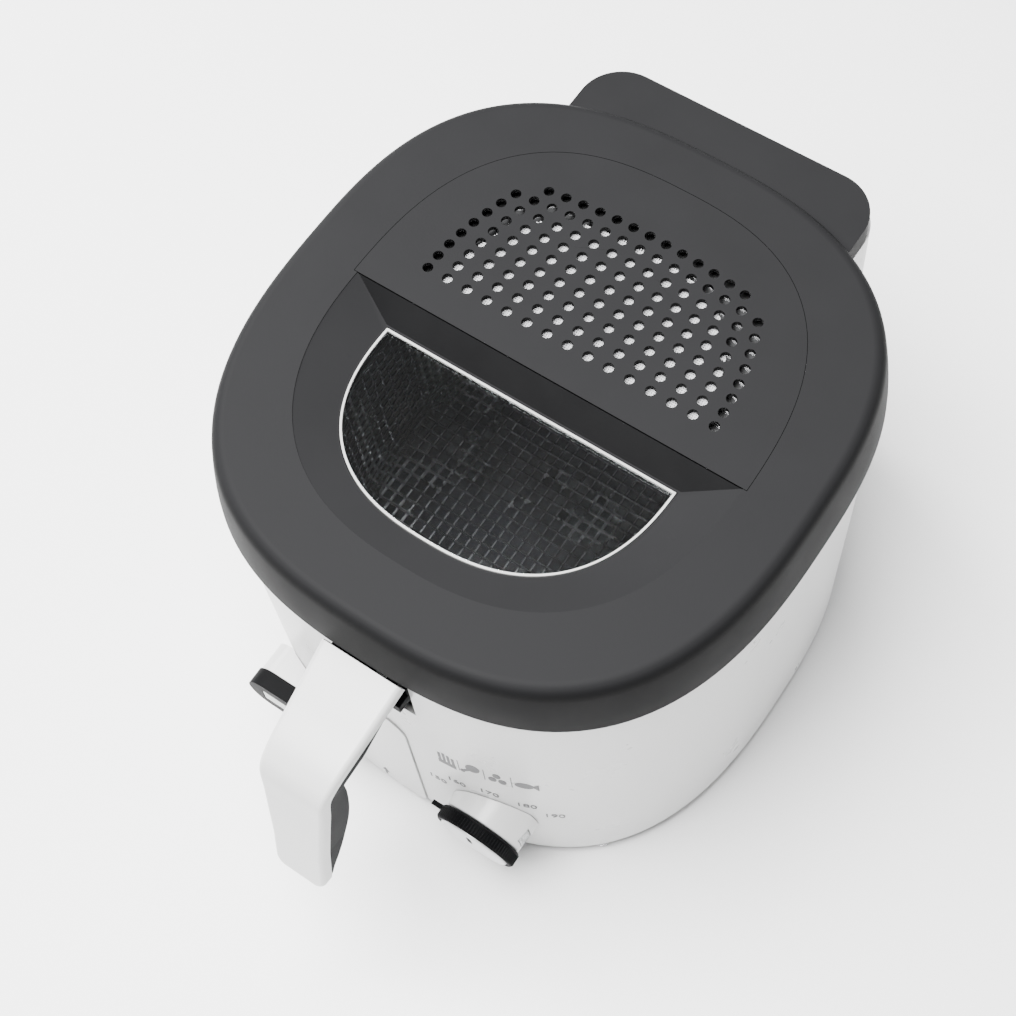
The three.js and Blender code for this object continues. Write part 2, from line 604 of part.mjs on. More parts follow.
function pilotLens() {
  const body = rod(knobPoint(-8), knobPoint(COLLAR_LENGTH - 1), KNOB_RADIUS - 0.6, 28, KNOB_RADIUS - 1.4)
    .subtract(rod(knobPoint(-9), knobPoint(COLLAR_LENGTH), KNOB_RADIUS - 3.6, 28));
  const window = box(KNOB_X + 12.4, KNOB_X + 30, lensFront + GAP, lensBack - GAP, KNOB_Z - 6.6,
    KNOB_Z + 6.6);
  return body.intersect(window).subtract(casingBlock(-0.3));
}
add('pilot_lens', pilotLens(), FINISH.glass);
add('pilot_lamp', rod(v(KNOB_X + 13.5, knobBase.y + 1, KNOB_Z), v(KNOB_X + 13.5, knobBase.y - 4.6,
  KNOB_Z), 2, 10), FINISH.amber);

const knob = new THREE.Group();
knob.position.copy(knobBase);
knob.rotation.x = THREE.MathUtils.degToRad(KNOB_TILT);
fryer.add(knob);
const knobBack = COLLAR_LENGTH + 0.6;
const KNOB_RING_DEPTH = 7;
const KNOB_RIBS = 40;
function knobRing() {
  const shape = new THREE.Shape();
  for (let i = 0; i < KNOB_RIBS * 2; i++) {
    const angle = (Math.PI * i) / KNOB_RIBS;
    const radius = KNOB_RADIUS - (i % 2 ? 0.8 : 0);
    shape[i ? 'lineTo' : 'moveTo'](radius * Math.cos(angle), radius * Math.sin(angle));
  }
  const pointer = new THREE.Shape([
    new THREE.Vector2(2 - KNOB_RADIUS, -2.6), new THREE.Vector2(2 - KNOB_RADIUS, 2.6),
      new THREE.Vector2(-KNOB_RADIUS - 6, 0.6),
    new THREE.Vector2(-KNOB_RADIUS - 6, -0.6),
  ]);
  return extruded(shape, KNOB_RING_DEPTH, upright(-knobBack - KNOB_RING_DEPTH, KNOB_RING_DEPTH))
    .add(extruded(pointer, 2.4, upright(-knobBack - 2.8, 2.4)))
    .subtract(rod(v(0, -knobBack - KNOB_RING_DEPTH - 1, 0), v(0, -knobBack - 2, 0), KNOB_RADIUS - 2.6, 28))
    .subtract(rod(v(0, -knobBack - 4, 0), v(0, 0, 0), 3 + GAP, 12));
}
add('knob_ring', knobRing(), FINISH.black, knob);
const faceStart = knobBack + 2 + GAP;
const faceEnd = knobBack + KNOB_RING_DEPTH + 1.2;
const knobFaceProfile = [
  [0, faceStart], [KNOB_RADIUS - 3, faceStart], [KNOB_RADIUS - 3, faceEnd - 1], [KNOB_RADIUS - 4.4,
    faceEnd], [0, faceEnd],
];
const markSlot = box(-1.4, 1.4, -faceEnd - 1, -faceEnd + 1, 4, KNOB_RADIUS - 7);
add('knob_face', turned(knobFaceProfile, v(0, 0, 0), v(0, -1, 0), 28)
  .subtract(rod(v(0, 0, 0), v(0, -faceStart - 3.4, 0), 3 + GAP, 12)).subtract(markSlot), FINISH.silver,
    knob);
add('knob_mark', box(-1.1, 1.1, -faceEnd - 0.3, -faceEnd + 0.6, 4.4, KNOB_RADIUS - 7.4), FINISH.black,
  knob);
add('knob_shaft', rod(v(0, CASING_WALL + 8, 0), v(0, -faceStart - 3, 0), 3, 12), FINISH.steel, knob);

// ---- minute timer ---------------------------------------------------------------------------
const TIMER_REACH = 9;
add('timer_collar', timerBlock(0, -6, TIMER_REACH).subtract(timerBlock(-2, -8, TIMER_REACH - 2))
  .subtract(casingBlock(-0.3)), FINISH.white);
const TIMER_FACE = TIMER_REACH + 9;
const timerPocket = box(TIMER_X - 13, TIMER_X + 5, timerFaceY - TIMER_FACE - 1, timerFaceY - TIMER_FACE + 2,
  TIMER_Z - 5, TIMER_Z + 5);
const buttonPocket = rod(v(TIMER_X + 12, timerFaceY - TIMER_FACE - 1, TIMER_Z), v(TIMER_X + 12,
  timerFaceY - TIMER_FACE + 4, TIMER_Z), 3.6, 14);
const cellPocket = rod(v(TIMER_X - 5, timerFaceY - TIMER_FACE + 3.4, TIMER_Z), v(TIMER_X - 5,
  timerFaceY - TIMER_REACH, TIMER_Z), 7.4, 14);
add('timer_body', timerBlock(0.8, TIMER_REACH + GAP, TIMER_FACE)
  .subtract(timerPocket).subtract(buttonPocket).subtract(cellPocket), FINISH.black);
add('timer_display', box(TIMER_X - 12.6, TIMER_X + 4.6, timerFaceY - TIMER_FACE,
  timerFaceY - TIMER_FACE + 1.6,
  TIMER_Z - 4.6, TIMER_Z + 4.6), FINISH.silver);
add('timer_battery', rod(v(TIMER_X - 5, timerFaceY - TIMER_FACE + 3.8, TIMER_Z), v(TIMER_X - 5,
  timerFaceY - TIMER_REACH - 1.6, TIMER_Z), 7, 14), FINISH.steel);
add('timer_button', rod(v(TIMER_X + 12, timerFaceY - TIMER_FACE - 1.2, TIMER_Z), v(TIMER_X + 12,
  timerFaceY - TIMER_FACE + 2.4, TIMER_Z), 3.2, 14), FINISH.seal);

// ---- drain: compartment, door, tube, cap -----------------------------------------------------
const TRAY_WALL = 1.6;
const trayBack = -BOWL_FRONT + 3;
function drainTray() {
  const block = (inset, back) => box(DOOR_LEFT - 3 + inset, DOOR_RIGHT + 3 - inset, -CASING_FRONT - 6, back,
    DOOR_BOTTOM - 0.6 + inset, DOOR_TOP + 3 - inset);
  return block(0, trayBack).intersect(casingBlock(CASING_WALL + GAP, 0, CASING_TOP))
    .subtract(block(TRAY_WALL, trayBack - TRAY_WALL))
    .subtract(rod(v(DRAIN_X, trayBack - 4, DRAIN_Z), v(DRAIN_X, trayBack + 2, DRAIN_Z),
      DRAIN_RADIUS + GAP, 12));
}
add('drain_compartment', drainTray(), FINISH.white);

function drainDoor() {
  const panel = doorBlock(-0.2, -CASING_FRONT - 6, 18)
    .intersect(casingBlock(-0.8, 0, CASING_TOP)).subtract(casingBlock(CASING_WALL - 0.3, 0, CASING_TOP))
    .subtract(all(...DOOR_LUGS.map(([low, high]) => doorLugSpace(low, high))));
  return all(panel, ...DOOR_BARRELS.map(([low, high]) => doorLug(low, high, 1))).subtract(doorPinHole);
}
add('drain_door', drainDoor(), FINISH.white);
add('door_hinge_pin', rod(v(doorHinge.x, doorHinge.y, 24), v(doorHinge.x, doorHinge.y, 102),
  DOOR_PIN_RADIUS, 8), FINISH.steel);

const TUBE_Y = spoutEnd - GAP - DRAIN_RADIUS - 1.4;
const TUBE_TOP = 96;
const tubeRoot = v(DRAIN_X, TUBE_Y, DRAIN_Z);
function drainTube() {
  const elbow = rod(v(DRAIN_X - 7, TUBE_Y, DRAIN_Z), v(DRAIN_X + 7, TUBE_Y, DRAIN_Z), DRAIN_RADIUS + 1.4,
    14);
  const stem = rod(tubeRoot, v(DRAIN_X, TUBE_Y, TUBE_TOP), DRAIN_RADIUS, 12);
  return elbow.add(stem).subtract(rod(tubeRoot, v(DRAIN_X, TUBE_Y, TUBE_TOP + 1), DRAIN_RADIUS - 1.5, 12));
}
add('drain_tube', drainTube(), FINISH.seal);
const capProfile = [
  [0, 0.6], [DRAIN_RADIUS + 0.8, 0.6], [DRAIN_RADIUS + 0.8, 5], [DRAIN_RADIUS - 1, 7], [0, 7],
];
const plug = rod(v(DRAIN_X, TUBE_Y, TUBE_TOP - 6), v(DRAIN_X, TUBE_Y, TUBE_TOP + 1),
  DRAIN_RADIUS - 1.5 - GAP, 12);
add('drain_cap', turned(capProfile, v(DRAIN_X, TUBE_Y, TUBE_TOP), v(DRAIN_X, TUBE_Y, TUBE_TOP + 1),
  14).add(plug), FINISH.black);

// ---- lid ------------------------------------------------------------------------------------
function lidRing(z, inset) {
  return oval(LID_HALF_WIDTH - inset, LID_FRONT - inset, LID_REAR - inset, z);
}

const windowHeight = (offset) => (y) => {
  const share = (WINDOW_REAR_Y - y) / (WINDOW_FRONT + WINDOW_REAR_Y);
  return LID_TOP - WINDOW_DEPTH + WINDOW_RISE * Math.max(0, Math.min(1, share)) + offset;
};

function windowDee(inset, offset) {
  return dee(WINDOW_HALF_WIDTH - inset, WINDOW_REAR_Y - inset, -WINDOW_FRONT + inset, windowHeight(offset));
}

function windowSlab(inset, low, high) {
  return loft([windowDee(inset, low), windowDee(inset, high)]);
}

function dish(grow) {
  const top = dee(DISH_HALF_WIDTH + grow, STEP_Y + grow, -DISH_FRONT - grow, () => LID_TOP + 0.01);
  const rise = 3;
  const above = top.map((point) => point.clone().setZ(LID_TOP + rise));
  return loft([windowDee(-grow, -grow), top, above]);
}

function filterDee(inset, z) {
  return dee(DISH_HALF_WIDTH + 1.5 - inset, STEP_Y + inset, FILTER_REAR - inset, () => z, 2.6);
}

function filterSlab(inset, low, high) {
  return loft([filterDee(inset, low), filterDee(inset, high)]);
}

const TONGUE_BOTTOM = REAR_HEIGHT + 1;
const TONGUE_TOP = LID_TOP - 11;
const ledgeZ = LID_TOP - COVER_THICKNESS - GAP;
const LEDGE = 5;

function lidShell() {
  const outside = loft([
    lidRing(RIM_HEIGHT, 0), lidRing(RIM_HEIGHT + 9, 0.6), lidRing(RIM_HEIGHT + 20, 2),
      lidRing(LID_TOP - 5, 4.2),
    lidRing(LID_TOP - 1.6, 6.6), lidRing(LID_TOP, 10),
  ]);
  const inside = loft([
    lidRing(RIM_HEIGHT - 1, LID_WALL), lidRing(RIM_HEIGHT + 20, 2 + LID_WALL), lidRing(LID_TOP - LID_WALL,
      9 + LID_WALL),
  ]);
  const tongueShape = roundedShape(
    -REAR_HALF_WIDTH, REAR_HALF_WIDTH, LID_REAR - 22, HINGE_Y, [0, 0, REAR_CORNER, REAR_CORNER],
  );
  const tongue = extruded(tongueShape, TONGUE_TOP - TONGUE_BOTTOM, new THREE.Matrix4().makeTranslation(0,
    0, TONGUE_BOTTOM));
  const barrels = all(...LID_BARRELS.map((span) => hingeBarrel(span, HINGE_RADIUS)));
  const webs = all(...LID_BARRELS.map(([x0, x1]) => box(x0, x1, HINGE_Y - 2.6, HINGE_Y + 1.6, HINGE_Z,
    TONGUE_BOTTOM + 2)));
  const casingKnuckles = all(...CASING_BARRELS.map(([x0, x1]) => hingeBarrel([x0 - GAP, x1 + GAP],
    HINGE_RADIUS + 0.7)));
  return outside.add(tongue.subtract(casingKnuckles).subtract(hingeBarrel(springSeat, HINGE_RADIUS + 2.2)))
    .subtract(inside.subtract(dish(LID_WALL)))
    .add(barrels).add(webs).subtract(hingeBore)
    .subtract(dish(0)).subtract(windowSlab(1, -9, 2))
    .subtract(filterSlab(LEDGE, LID_TOP - 12, LID_TOP + 1).subtract(dish(LID_WALL)))
    .subtract(filterSlab(-GAP, ledgeZ, LID_TOP + 1));
}
add('lid_shell', lidShell(), FINISH.lid);

const LINER_BOTTOM = RIM_HEIGHT + 4;
function lidLiner() {
  const plate = loft([lidRing(LINER_BOTTOM, LID_WALL + 2), lidRing(LINER_BOTTOM + 1.6, LID_WALL + 2)]);
  const sight = loft([windowDee(4, -40), windowDee(4, 5)]);
  const vents = [-45, -27, -9, 9, 27, 45].map((x) => box(x - 5, x + 5, 8, 76, LINER_BOTTOM - 1,
    LINER_BOTTOM + 3));
  return plate.subtract(sight).subtract(all(...vents));
}
add('lid_liner', lidLiner(), FINISH.aluminium);

function lidGasket() {
  const low = FLANGE_TOP + GAP;
  const high = LINER_BOTTOM - GAP;
  const ring = (grow, z) => oval(BOWL_HALF_WIDTH + grow, BOWL_FRONT + grow, BOWL_REAR + grow, z);
  return loft([ring(4, low), ring(7, low + 2), ring(7, high)]).subtract(loft([ring(1.5, low - 1),
    ring(1.5, high + 1)]));
}
add('lid_gasket', lidGasket(), FINISH.seal);

add('window_gasket', windowSlab(1 + GAP, -2.4, 0.5).subtract(windowSlab(3, -9, 3)), FINISH.seal);
add('window_glass', windowSlab(3 + GAP, -2.4, -0.3), FINISH.glass);

const TRAY_LOW = LINER_BOTTOM + 1.6 + GAP;
const filterInset = LEDGE + GAP;
function filterTray() {
  const outside = filterSlab(filterInset, TRAY_LOW, ledgeZ - 3);
  const inside = filterSlab(filterInset + 1.6, TRAY_LOW + 1.6, LID_TOP);
  const vents = [-45, -27, -9, 9, 27, 45].map((x) => box(x - 5, x + 5, 8, 76, TRAY_LOW - 1, TRAY_LOW + 3));
  return outside.subtract(dish(LID_WALL + GAP)).subtract(inside.subtract(dish(LID_WALL + GAP
    + 1.6))).subtract(all(...vents));
}
add('filter_tray', filterTray(), FINISH.black);
const trayFloor = TRAY_LOW + 1.6 + GAP;
const filterSize = (z) => dee(DISH_HALF_WIDTH - 18, STEP_Y + 17, FILTER_REAR - 12, () => z, 2.6);
add('charcoal_filter', loft([filterSize(trayFloor), filterSize(trayFloor + 7)]), FINISH.charcoal);
add('grease_filter', loft([filterSize(trayFloor + 7.5), filterSize(ledgeZ - 5)]), FINISH.steel);

// ---- perforated filter cover ------------------------------------------------------------------
const HOLE_RADIUS = 2.4;
const HOLE_ROWS = 9;
const HOLE_PITCH_X = 10.61;
const HOLE_PITCH_Y = 8.3;
const HOLES_EACH_SIDE = 7;
function holeSpots() {
  const spots = [];
  for (let row = 0; row < HOLE_ROWS; row++) {
    const share = row / (HOLE_ROWS - 1);
    const last = row === HOLE_ROWS - 1 ? HOLES_EACH_SIDE - 1 : HOLES_EACH_SIDE;
    for (let i = -last; i <= last; i++) {
      const outward = i / HOLES_EACH_SIDE;
      spots.push([
        i * HOLE_PITCH_X * (1 - 0.19 * share ** 2),
        STEP_Y + 18.3 + HOLE_PITCH_Y * row - 5.3 * share * outward ** 2,
      ]);
    }
  }
  return spots;
}

function filterCover() {
  const holes = holeSpots().map(([x, y]) => rod(v(x, y, ledgeZ - 2), v(x, y, LID_TOP + 2), HOLE_RADIUS, 4));
  return filterSlab(0.1, ledgeZ + GAP, LID_TOP).subtract(all(...holes));
}
add('filter_cover', filterCover(), FINISH.lid);

// ---- lid hinge pin, spring, latch --------------------------------------------------------------
add('lid_hinge_pin', hingeBarrel([-62, 62], PIN_RADIUS), FINISH.steel);
function coil(centreY, centreZ, x0, x1, turns, radius, wire, stepsPerTurn = 8) {
  const points = [];
  for (let i = 0; i <= turns * stepsPerTurn; i++) {
    const share = i / (turns * stepsPerTurn);
    const angle = 2 * Math.PI * turns * share;
    points.push(v(x0 + (x1 - x0) * share, centreY + radius * Math.cos(angle),
      centreZ + radius * Math.sin(angle)));
  }
  return bentTube(points, wire, turns * stepsPerTurn, 5);
}
add('lid_spring', coil(HINGE_Y, HINGE_Z, springSeat[0] + 1.5, springSeat[1] - 1.5, 4, 3.6, 0.7),
  FINISH.steel);

const CATCH_BOTTOM = BUTTON_Z + 6;
add('lid_catch', all(
  atButton(-4, 4, -9, -6.6, CATCH_BOTTOM, LINER_BOTTOM - GAP),
  atButton(-4, 4, -11.5, -8, CATCH_BOTTOM, CATCH_BOTTOM + 4),
), FINISH.steel);

function releaseButton() {
  const cap = buttonBlock(0, -5, 6).intersect(casingBlock(-0.5, 0, CASING_TOP + 10))
    .subtract(casingBlock(CASING_WALL - 0.6, 0, CASING_TOP + 10));
  const stem = rod(buttonCentre.clone().addScaledVector(buttonOut, -1.5),
    buttonCentre.clone().addScaledVector(buttonOut, -9), 3, 10);
  return cap.add(stem);
}
add('release_button', releaseButton(), FINISH.white);

// ---- handle with its lift pin ------------------------------------------------------------------
const SPINE_STEPS = 13;
const handleSpine = new THREE.CatmullRomCurve3([
  v(0, HANDLE_PIVOT_Y - 0.5, HANDLE_TOP_Z), v(0, HANDLE_PIVOT_Y - 26, HANDLE_TOP_Z - 8.6),
  v(0, HANDLE_PIVOT_Y - 47.5, HANDLE_TOP_Z - 16.4), v(0, HANDLE_PIVOT_Y - 54.8, HANDLE_TOP_Z - 23),
  v(0, HANDLE_PIVOT_Y - 58.8, HANDLE_TOP_Z - 43), v(0, HANDLE_PIVOT_Y - 70.5, HANDLE_TOP_Z - 109.4),
]);
const spineFrames = Array.from({ length: SPINE_STEPS + 1 }, (_, i) => {
  const tangent = handleSpine.getTangentAt(i / SPINE_STEPS);
  return { point: handleSpine.getPointAt(i / SPINE_STEPS), under: v(0, -tangent.z, tangent.y) };
});

// Place on the spine, straight between its stations so that nested bars share the same facets.
function spineAt(share) {
  const low = THREE.MathUtils.clamp(Math.floor(share * SPINE_STEPS), 0, SPINE_STEPS - 1);
  const between = share * SPINE_STEPS - low;
  return {
    point: spineFrames[low].point.clone().lerp(spineFrames[low + 1].point, between),
    under: spineFrames[low].under.clone().lerp(spineFrames[low + 1].under, between),
  };
}

function handleHalfWidth(share) {
  const straight = HANDLE_HALF_WIDTH + (HANDLE_TIP_HALF_WIDTH - HANDLE_HALF_WIDTH) * Math.min(1,
    share * 1.25);
  return share > 0.93 ? straight - 4 * ((share - 0.93) / 0.07) ** 2 : straight;
}

// A bar along the handle; near and far give its two faces, measured below the top surface.
function handleBar(start, end, sideInset, near, far) {
  const inner = spineFrames.map((_, i) => i / SPINE_STEPS).filter((share) => share > start + 0.01
    && share < end - 0.01);
  return loft([start, ...inner, end].map((share) => {
    const { point, under } = spineAt(share);
    const half = handleHalfWidth(share) - sideInset;
    const corner = (x, depth) => point.clone().addScaledVector(under, depth).setX(x);
    return [corner(-half, far(share)), corner(half, far(share)), corner(half, near), corner(-half, near)];
  }));
}

const ROOT_DEPTH = 10.6;
const NECK_DEPTH = 15.5;
const GRIP_SWELL = 7;
const GRIP_SIDE = 0.8; // grip narrower than the shell, each side
function gripDepth(share) {
  const neck = THREE.MathUtils.clamp((share - 0.1) / 0.12, 0, 1);
  const along = Math.max(0, (share - 0.36) / 0.605);
  return ROOT_DEPTH + (NECK_DEPTH - ROOT_DEPTH) * neck
    + GRIP_SWELL * Math.sin(Math.PI * along ** 1.2) - 7.5 * along ** 5;
}

function handleShell() {
  return handleBar(0, 1, 0, 0, () => HANDLE_LIP)
    .subtract(handleBar(-0.03, 0.975, HANDLE_WALL, HANDLE_WALL, () => HANDLE_LIP + 3));
}
add('handle_shell', handleShell(), FINISH.white);

const pivot = v(0, HANDLE_PIVOT_Y, HANDLE_PIVOT_Z);
const liftPin = v(0, HANDLE_PIVOT_Y - LEVER_REACH, HANDLE_PIVOT_Z - LEVER_DROP);
const LEVER_LENGTH = Math.hypot(LEVER_REACH, LEVER_DROP);
function across(point, x0, x1, radius, sides = 12) {
  return rod(point.clone().setX(x0), point.clone().setX(x1), radius, sides);
}
const BARREL_RADIUS = 5;
const BARREL_HALF_WIDTH = 12.5;
const HINGE_STUB_RADIUS = 2;
const strapSlot = box(-NOTCH_HALF_WIDTH, NOTCH_HALF_WIDTH, liftPin.y - 9, HANDLE_PIVOT_Y + 10, BASKET_TOP,
  HANDLE_TOP_Z);
function handleGrip() {
  const earSpace = across(pivot, -30, 30, EAR_RADIUS + GAP, 14)
    .subtract(box(-BARREL_HALF_WIDTH, BARREL_HALF_WIDTH, HANDLE_PIVOT_Y - 20, HANDLE_PIVOT_Y + 20, 0,
      HANDLE_TOP_Z));
  return handleBar(0.02, 0.965, HANDLE_WALL + GAP, HANDLE_WALL + GAP, gripDepth)
    .add(handleBar(0.02, 0.965, GRIP_SIDE, HANDLE_LIP + GAP, gripDepth))
    .subtract(earSpace).add(across(pivot, -BARREL_HALF_WIDTH, BARREL_HALF_WIDTH, BARREL_RADIUS, 14))
    .subtract(strapSlot).subtract(across(pivot, -30, 30, HINGE_STUB_RADIUS + GAP))
    .subtract(across(liftPin, -12.5, 12.5, LIFT_PIN_RADIUS + GAP, 10));
}
add('handle_grip', handleGrip(), FINISH.black);
add('lift_pin', across(liftPin, -12, 12, LIFT_PIN_RADIUS, 10), FINISH.steel);

const guideFront = HANDLE_PIVOT_Y - 9;
const SHOULDER_Z = HANDLE_PIVOT_Z - 15;
const GUIDE_NECK = 9;
function handleBracket() {
  const wide = box(-GUIDE_HALF_WIDTH, GUIDE_HALF_WIDTH, HANDLE_PIVOT_Y - 3.5, -BOWL_FRONT - 4, SHOULDER_Z,
    HANDLE_PIVOT_Z - 2);
  const narrow = box(-GUIDE_NECK, GUIDE_NECK, guideFront, -BOWL_FRONT - 4, GUIDE_BOTTOM, SHOULDER_Z + 2);
  const back = box(-GUIDE_HALF_WIDTH, GUIDE_HALF_WIDTH, -CASING_FRONT + CASING_WALL + 1, -BOWL_FRONT - 4,
    GUIDE_BOTTOM, SHOULDER_Z + 2);
  const block = all(wide, narrow, back);
  const ears = across(pivot, -EAR_HALF_WIDTH, EAR_HALF_WIDTH, EAR_RADIUS, 14);
  const headroom = box(-30, 30, guideFront - 2, HANDLE_PIVOT_Y + 3, HANDLE_PIVOT_Z - 9, RIM_HEIGHT + 2);
  const barrelSpace = box(-BARREL_HALF_WIDTH - GAP, BARREL_HALF_WIDTH + GAP, guideFront - 2,
    HANDLE_PIVOT_Y + BARREL_RADIUS + 1, HANDLE_PIVOT_Z - 9, RIM_HEIGHT + 2);
  return block.subtract(headroom).add(ears).subtract(barrelSpace)
    .subtract(box(-NOTCH_HALF_WIDTH, NOTCH_HALF_WIDTH, guideFront - 2, -BOWL_FRONT, NOTCH_BOTTOM + 1,
      RIM_HEIGHT + 2))
    .subtract(across(pivot, -30, 30, HINGE_STUB_RADIUS + GAP));
}
add('handle_bracket', handleBracket(), FINISH.black);
[['left', -1], ['right', 1]].forEach(([side, sign]) => {
  const [x0, x1] = [NOTCH_HALF_WIDTH + 0.5, EAR_HALF_WIDTH - 0.3].map((x) => x * sign);
  add(`handle_hinge_pin_${side}`, across(pivot, x0, x1, HINGE_STUB_RADIUS, 10), FINISH.steel);
});

// ---- basket -----------------------------------------------------------------------------------
function basketRing(z, inset = 0) {
  const drop = (FLANGE_TOP - z) / (FLANGE_TOP - BOWL_FLOOR);
  const shrink = BOWL_DRAFT * drop + BASKET_GAP + inset;
  return oval(BOWL_HALF_WIDTH - shrink, BOWL_FRONT - shrink, BOWL_REAR - shrink, z, 24);
}

function basketBody() {
  const outside = loft([basketRing(BASKET_FLOOR, 6), basketRing(BASKET_FLOOR + 8, 0),
    basketRing(BASKET_TOP, 0)]);
  const inside = loft([
    basketRing(BASKET_FLOOR + BASKET_WALL, 6 + BASKET_WALL), basketRing(BASKET_FLOOR + 8, BASKET_WALL),
    basketRing(BASKET_TOP + 1, BASKET_WALL),
  ]);
  return outside.subtract(inside);
}
add('basket', basketBody(), FINISH.steel);

function basketRim() {
  const outside = loft([basketRing(BASKET_TOP + GAP, -1.2), basketRing(BASKET_TOP + 3.6, -1.2)]);
  return outside.subtract(loft([basketRing(BASKET_TOP, BASKET_WALL + 1), basketRing(BASKET_TOP + 5,
    BASKET_WALL + 1)]));
}
add('basket_rim', basketRim(), FINISH.steel);

// The lift pin swings on an arc, so the strap's eye is a level slot as long as the arc is deep.
const eyeEnds = [-LEVER_LENGTH, -LEVER_LENGTH * Math.cos(Math.asin(LEVER_DROP / LEVER_LENGTH) - LIFT_ANGLE)]
  .map((reach) => v(0, HANDLE_PIVOT_Y + reach, liftPin.z));
const EYE_RADIUS = LIFT_PIN_RADIUS + 0.55;
function liftStrap() {
  const inner = -BOWL_FRONT + BASKET_GAP + 6;
  const low = BASKET_TOP + 4;
  const plate = (y0, y1, z0, z1) => box(-STRAP_HALF_WIDTH, STRAP_HALF_WIDTH, y0, y1, z0, z1);
  const eye = (halfWidth, radius) => all(
    ...eyeEnds.map((end) => across(end, -halfWidth, halfWidth, radius, 12)),
    box(-halfWidth, halfWidth, eyeEnds[0].y, eyeEnds[1].y, liftPin.z - radius * 0.96,
      liftPin.z + radius * 0.96),
  );
  const flat = plate(eyeEnds[0].y - 3, inner, STRAP_Z, STRAP_Z + STRAP_THICKNESS);
  const foot = plate(inner - 3, inner, low, STRAP_Z + 1);
  const footPlate = box(-14, 14, inner - 3, inner, low, low + 2);
  const tab = plate(eyeEnds[0].y - 3, eyeEnds[1].y + 3, STRAP_Z, liftPin.z);
  return all(flat, foot, footPlate, tab, eye(STRAP_HALF_WIDTH, 3.6)).subtract(eye(STRAP_HALF_WIDTH + 2,
    EYE_RADIUS));
}
add('lift_strap', liftStrap(), FINISH.steel);

// ---- origin under the middle of the whole object ------------------------------------------------
const bounds = new THREE.Box3().setFromObject(fryer);
fryer.position.set(0, -(bounds.min.y + bounds.max.y) / 2, -bounds.min.z);
fryer.updateMatrixWorld(true);

export default fryer;
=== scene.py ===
import json
import math

import bmesh
import bpy
from mathutils import Matrix, Vector


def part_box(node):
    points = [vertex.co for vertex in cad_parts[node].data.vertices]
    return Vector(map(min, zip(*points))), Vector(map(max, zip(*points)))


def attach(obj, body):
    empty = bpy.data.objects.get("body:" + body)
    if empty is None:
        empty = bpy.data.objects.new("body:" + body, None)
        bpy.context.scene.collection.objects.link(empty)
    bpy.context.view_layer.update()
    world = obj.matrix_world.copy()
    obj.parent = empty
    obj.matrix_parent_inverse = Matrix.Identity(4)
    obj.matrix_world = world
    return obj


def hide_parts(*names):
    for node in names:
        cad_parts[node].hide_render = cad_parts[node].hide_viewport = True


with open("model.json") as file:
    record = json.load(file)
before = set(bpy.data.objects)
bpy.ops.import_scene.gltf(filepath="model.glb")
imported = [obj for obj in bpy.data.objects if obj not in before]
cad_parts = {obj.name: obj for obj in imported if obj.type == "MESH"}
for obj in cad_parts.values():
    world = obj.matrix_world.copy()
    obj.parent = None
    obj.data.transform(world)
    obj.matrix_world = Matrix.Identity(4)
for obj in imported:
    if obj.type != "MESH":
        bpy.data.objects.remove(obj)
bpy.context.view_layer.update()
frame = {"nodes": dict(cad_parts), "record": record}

# Shapes are drawn in millimetres round the lid's centre line, floor at z = 0, front towards -Y,
# and moved into the row frame (metres, origin under the middle of the whole fryer) at the end.
MM = 0.001
LID_FRONT = 150.0
SHIFT_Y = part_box("lid_shell")[0][1] + LID_FRONT * MM
TO_ROW = Matrix.Translation((0, SHIFT_Y, 0)) @ Matrix.Scale(MM, 4)
GAP = 0.4

LID_HALF, LID_REAR, LID_WALL = 135.0, 131.0, 2.6
RIM_Z, LID_TOP = 195.0, 228.0
OUTLINE_POWER = 2.68
CASING_HALF, CASING_FRONT, CASING_REAR = 131.5, 147.0, 127.5
CASING_TOP, CASING_LOW, CASING_WALL = 194.6, 5.0, 2.5
SIDE_TAPER, FRONT_TAPER = 4.0, 1.5
REAR_HALF, REAR_REACH, REAR_CORNER, REAR_Z = 76.0, 158.0, 22.0, 203.6
BOWL_HALF, BOWL_FRONT, BOWL_REAR = 113.0, 121.0, 109.0
FLANGE_Z, FLOOR_Z, BOWL_DRAFT = 192.0, 58.0, 7.0
DISH_HALF, DISH_FRONT, STEP_Y, FILTER_REAR = 99.5, 116.0, -11.3, 102.0
WINDOW_HALF, WINDOW_FRONT, WINDOW_REAR = 76.5, 102.5, -22.8
WINDOW_DEPTH, WINDOW_RISE = 9.2, 6.2
COVER_THICKNESS = 2.4
HINGE_Y, HINGE_Z, HINGE_RADIUS = 155.0, 203.5, 3.2
KNOB_X, KNOB_Z, KNOB_RADIUS, KNOB_TILT, COLLAR = 49.0, 50.0, 21.5, math.radians(6), 8.0
TIMER_X, TIMER_Z, TIMER_HALF, TIMER_TALL = -61.0, 65.0, 21.0, 10.5
DOOR = (-34.0, 8.5, 9.0, 117.0)
DOOR_CORNERS = (4.0, 4.0, 14.0, 3.0)
BUTTON_ANGLE, BUTTON_Z = math.radians(226), 160.0
BUTTON_HALF, BUTTON_TALL = 19.0, 24.0
PIVOT_Y, PIVOT_Z, HANDLE_TOP = -150.0, 184.0, 193.0
HANDLE_HALF, HANDLE_TIP_HALF, HANDLE_LIP, HANDLE_WALL = 20.7, 14.0, 6.5, 2.6

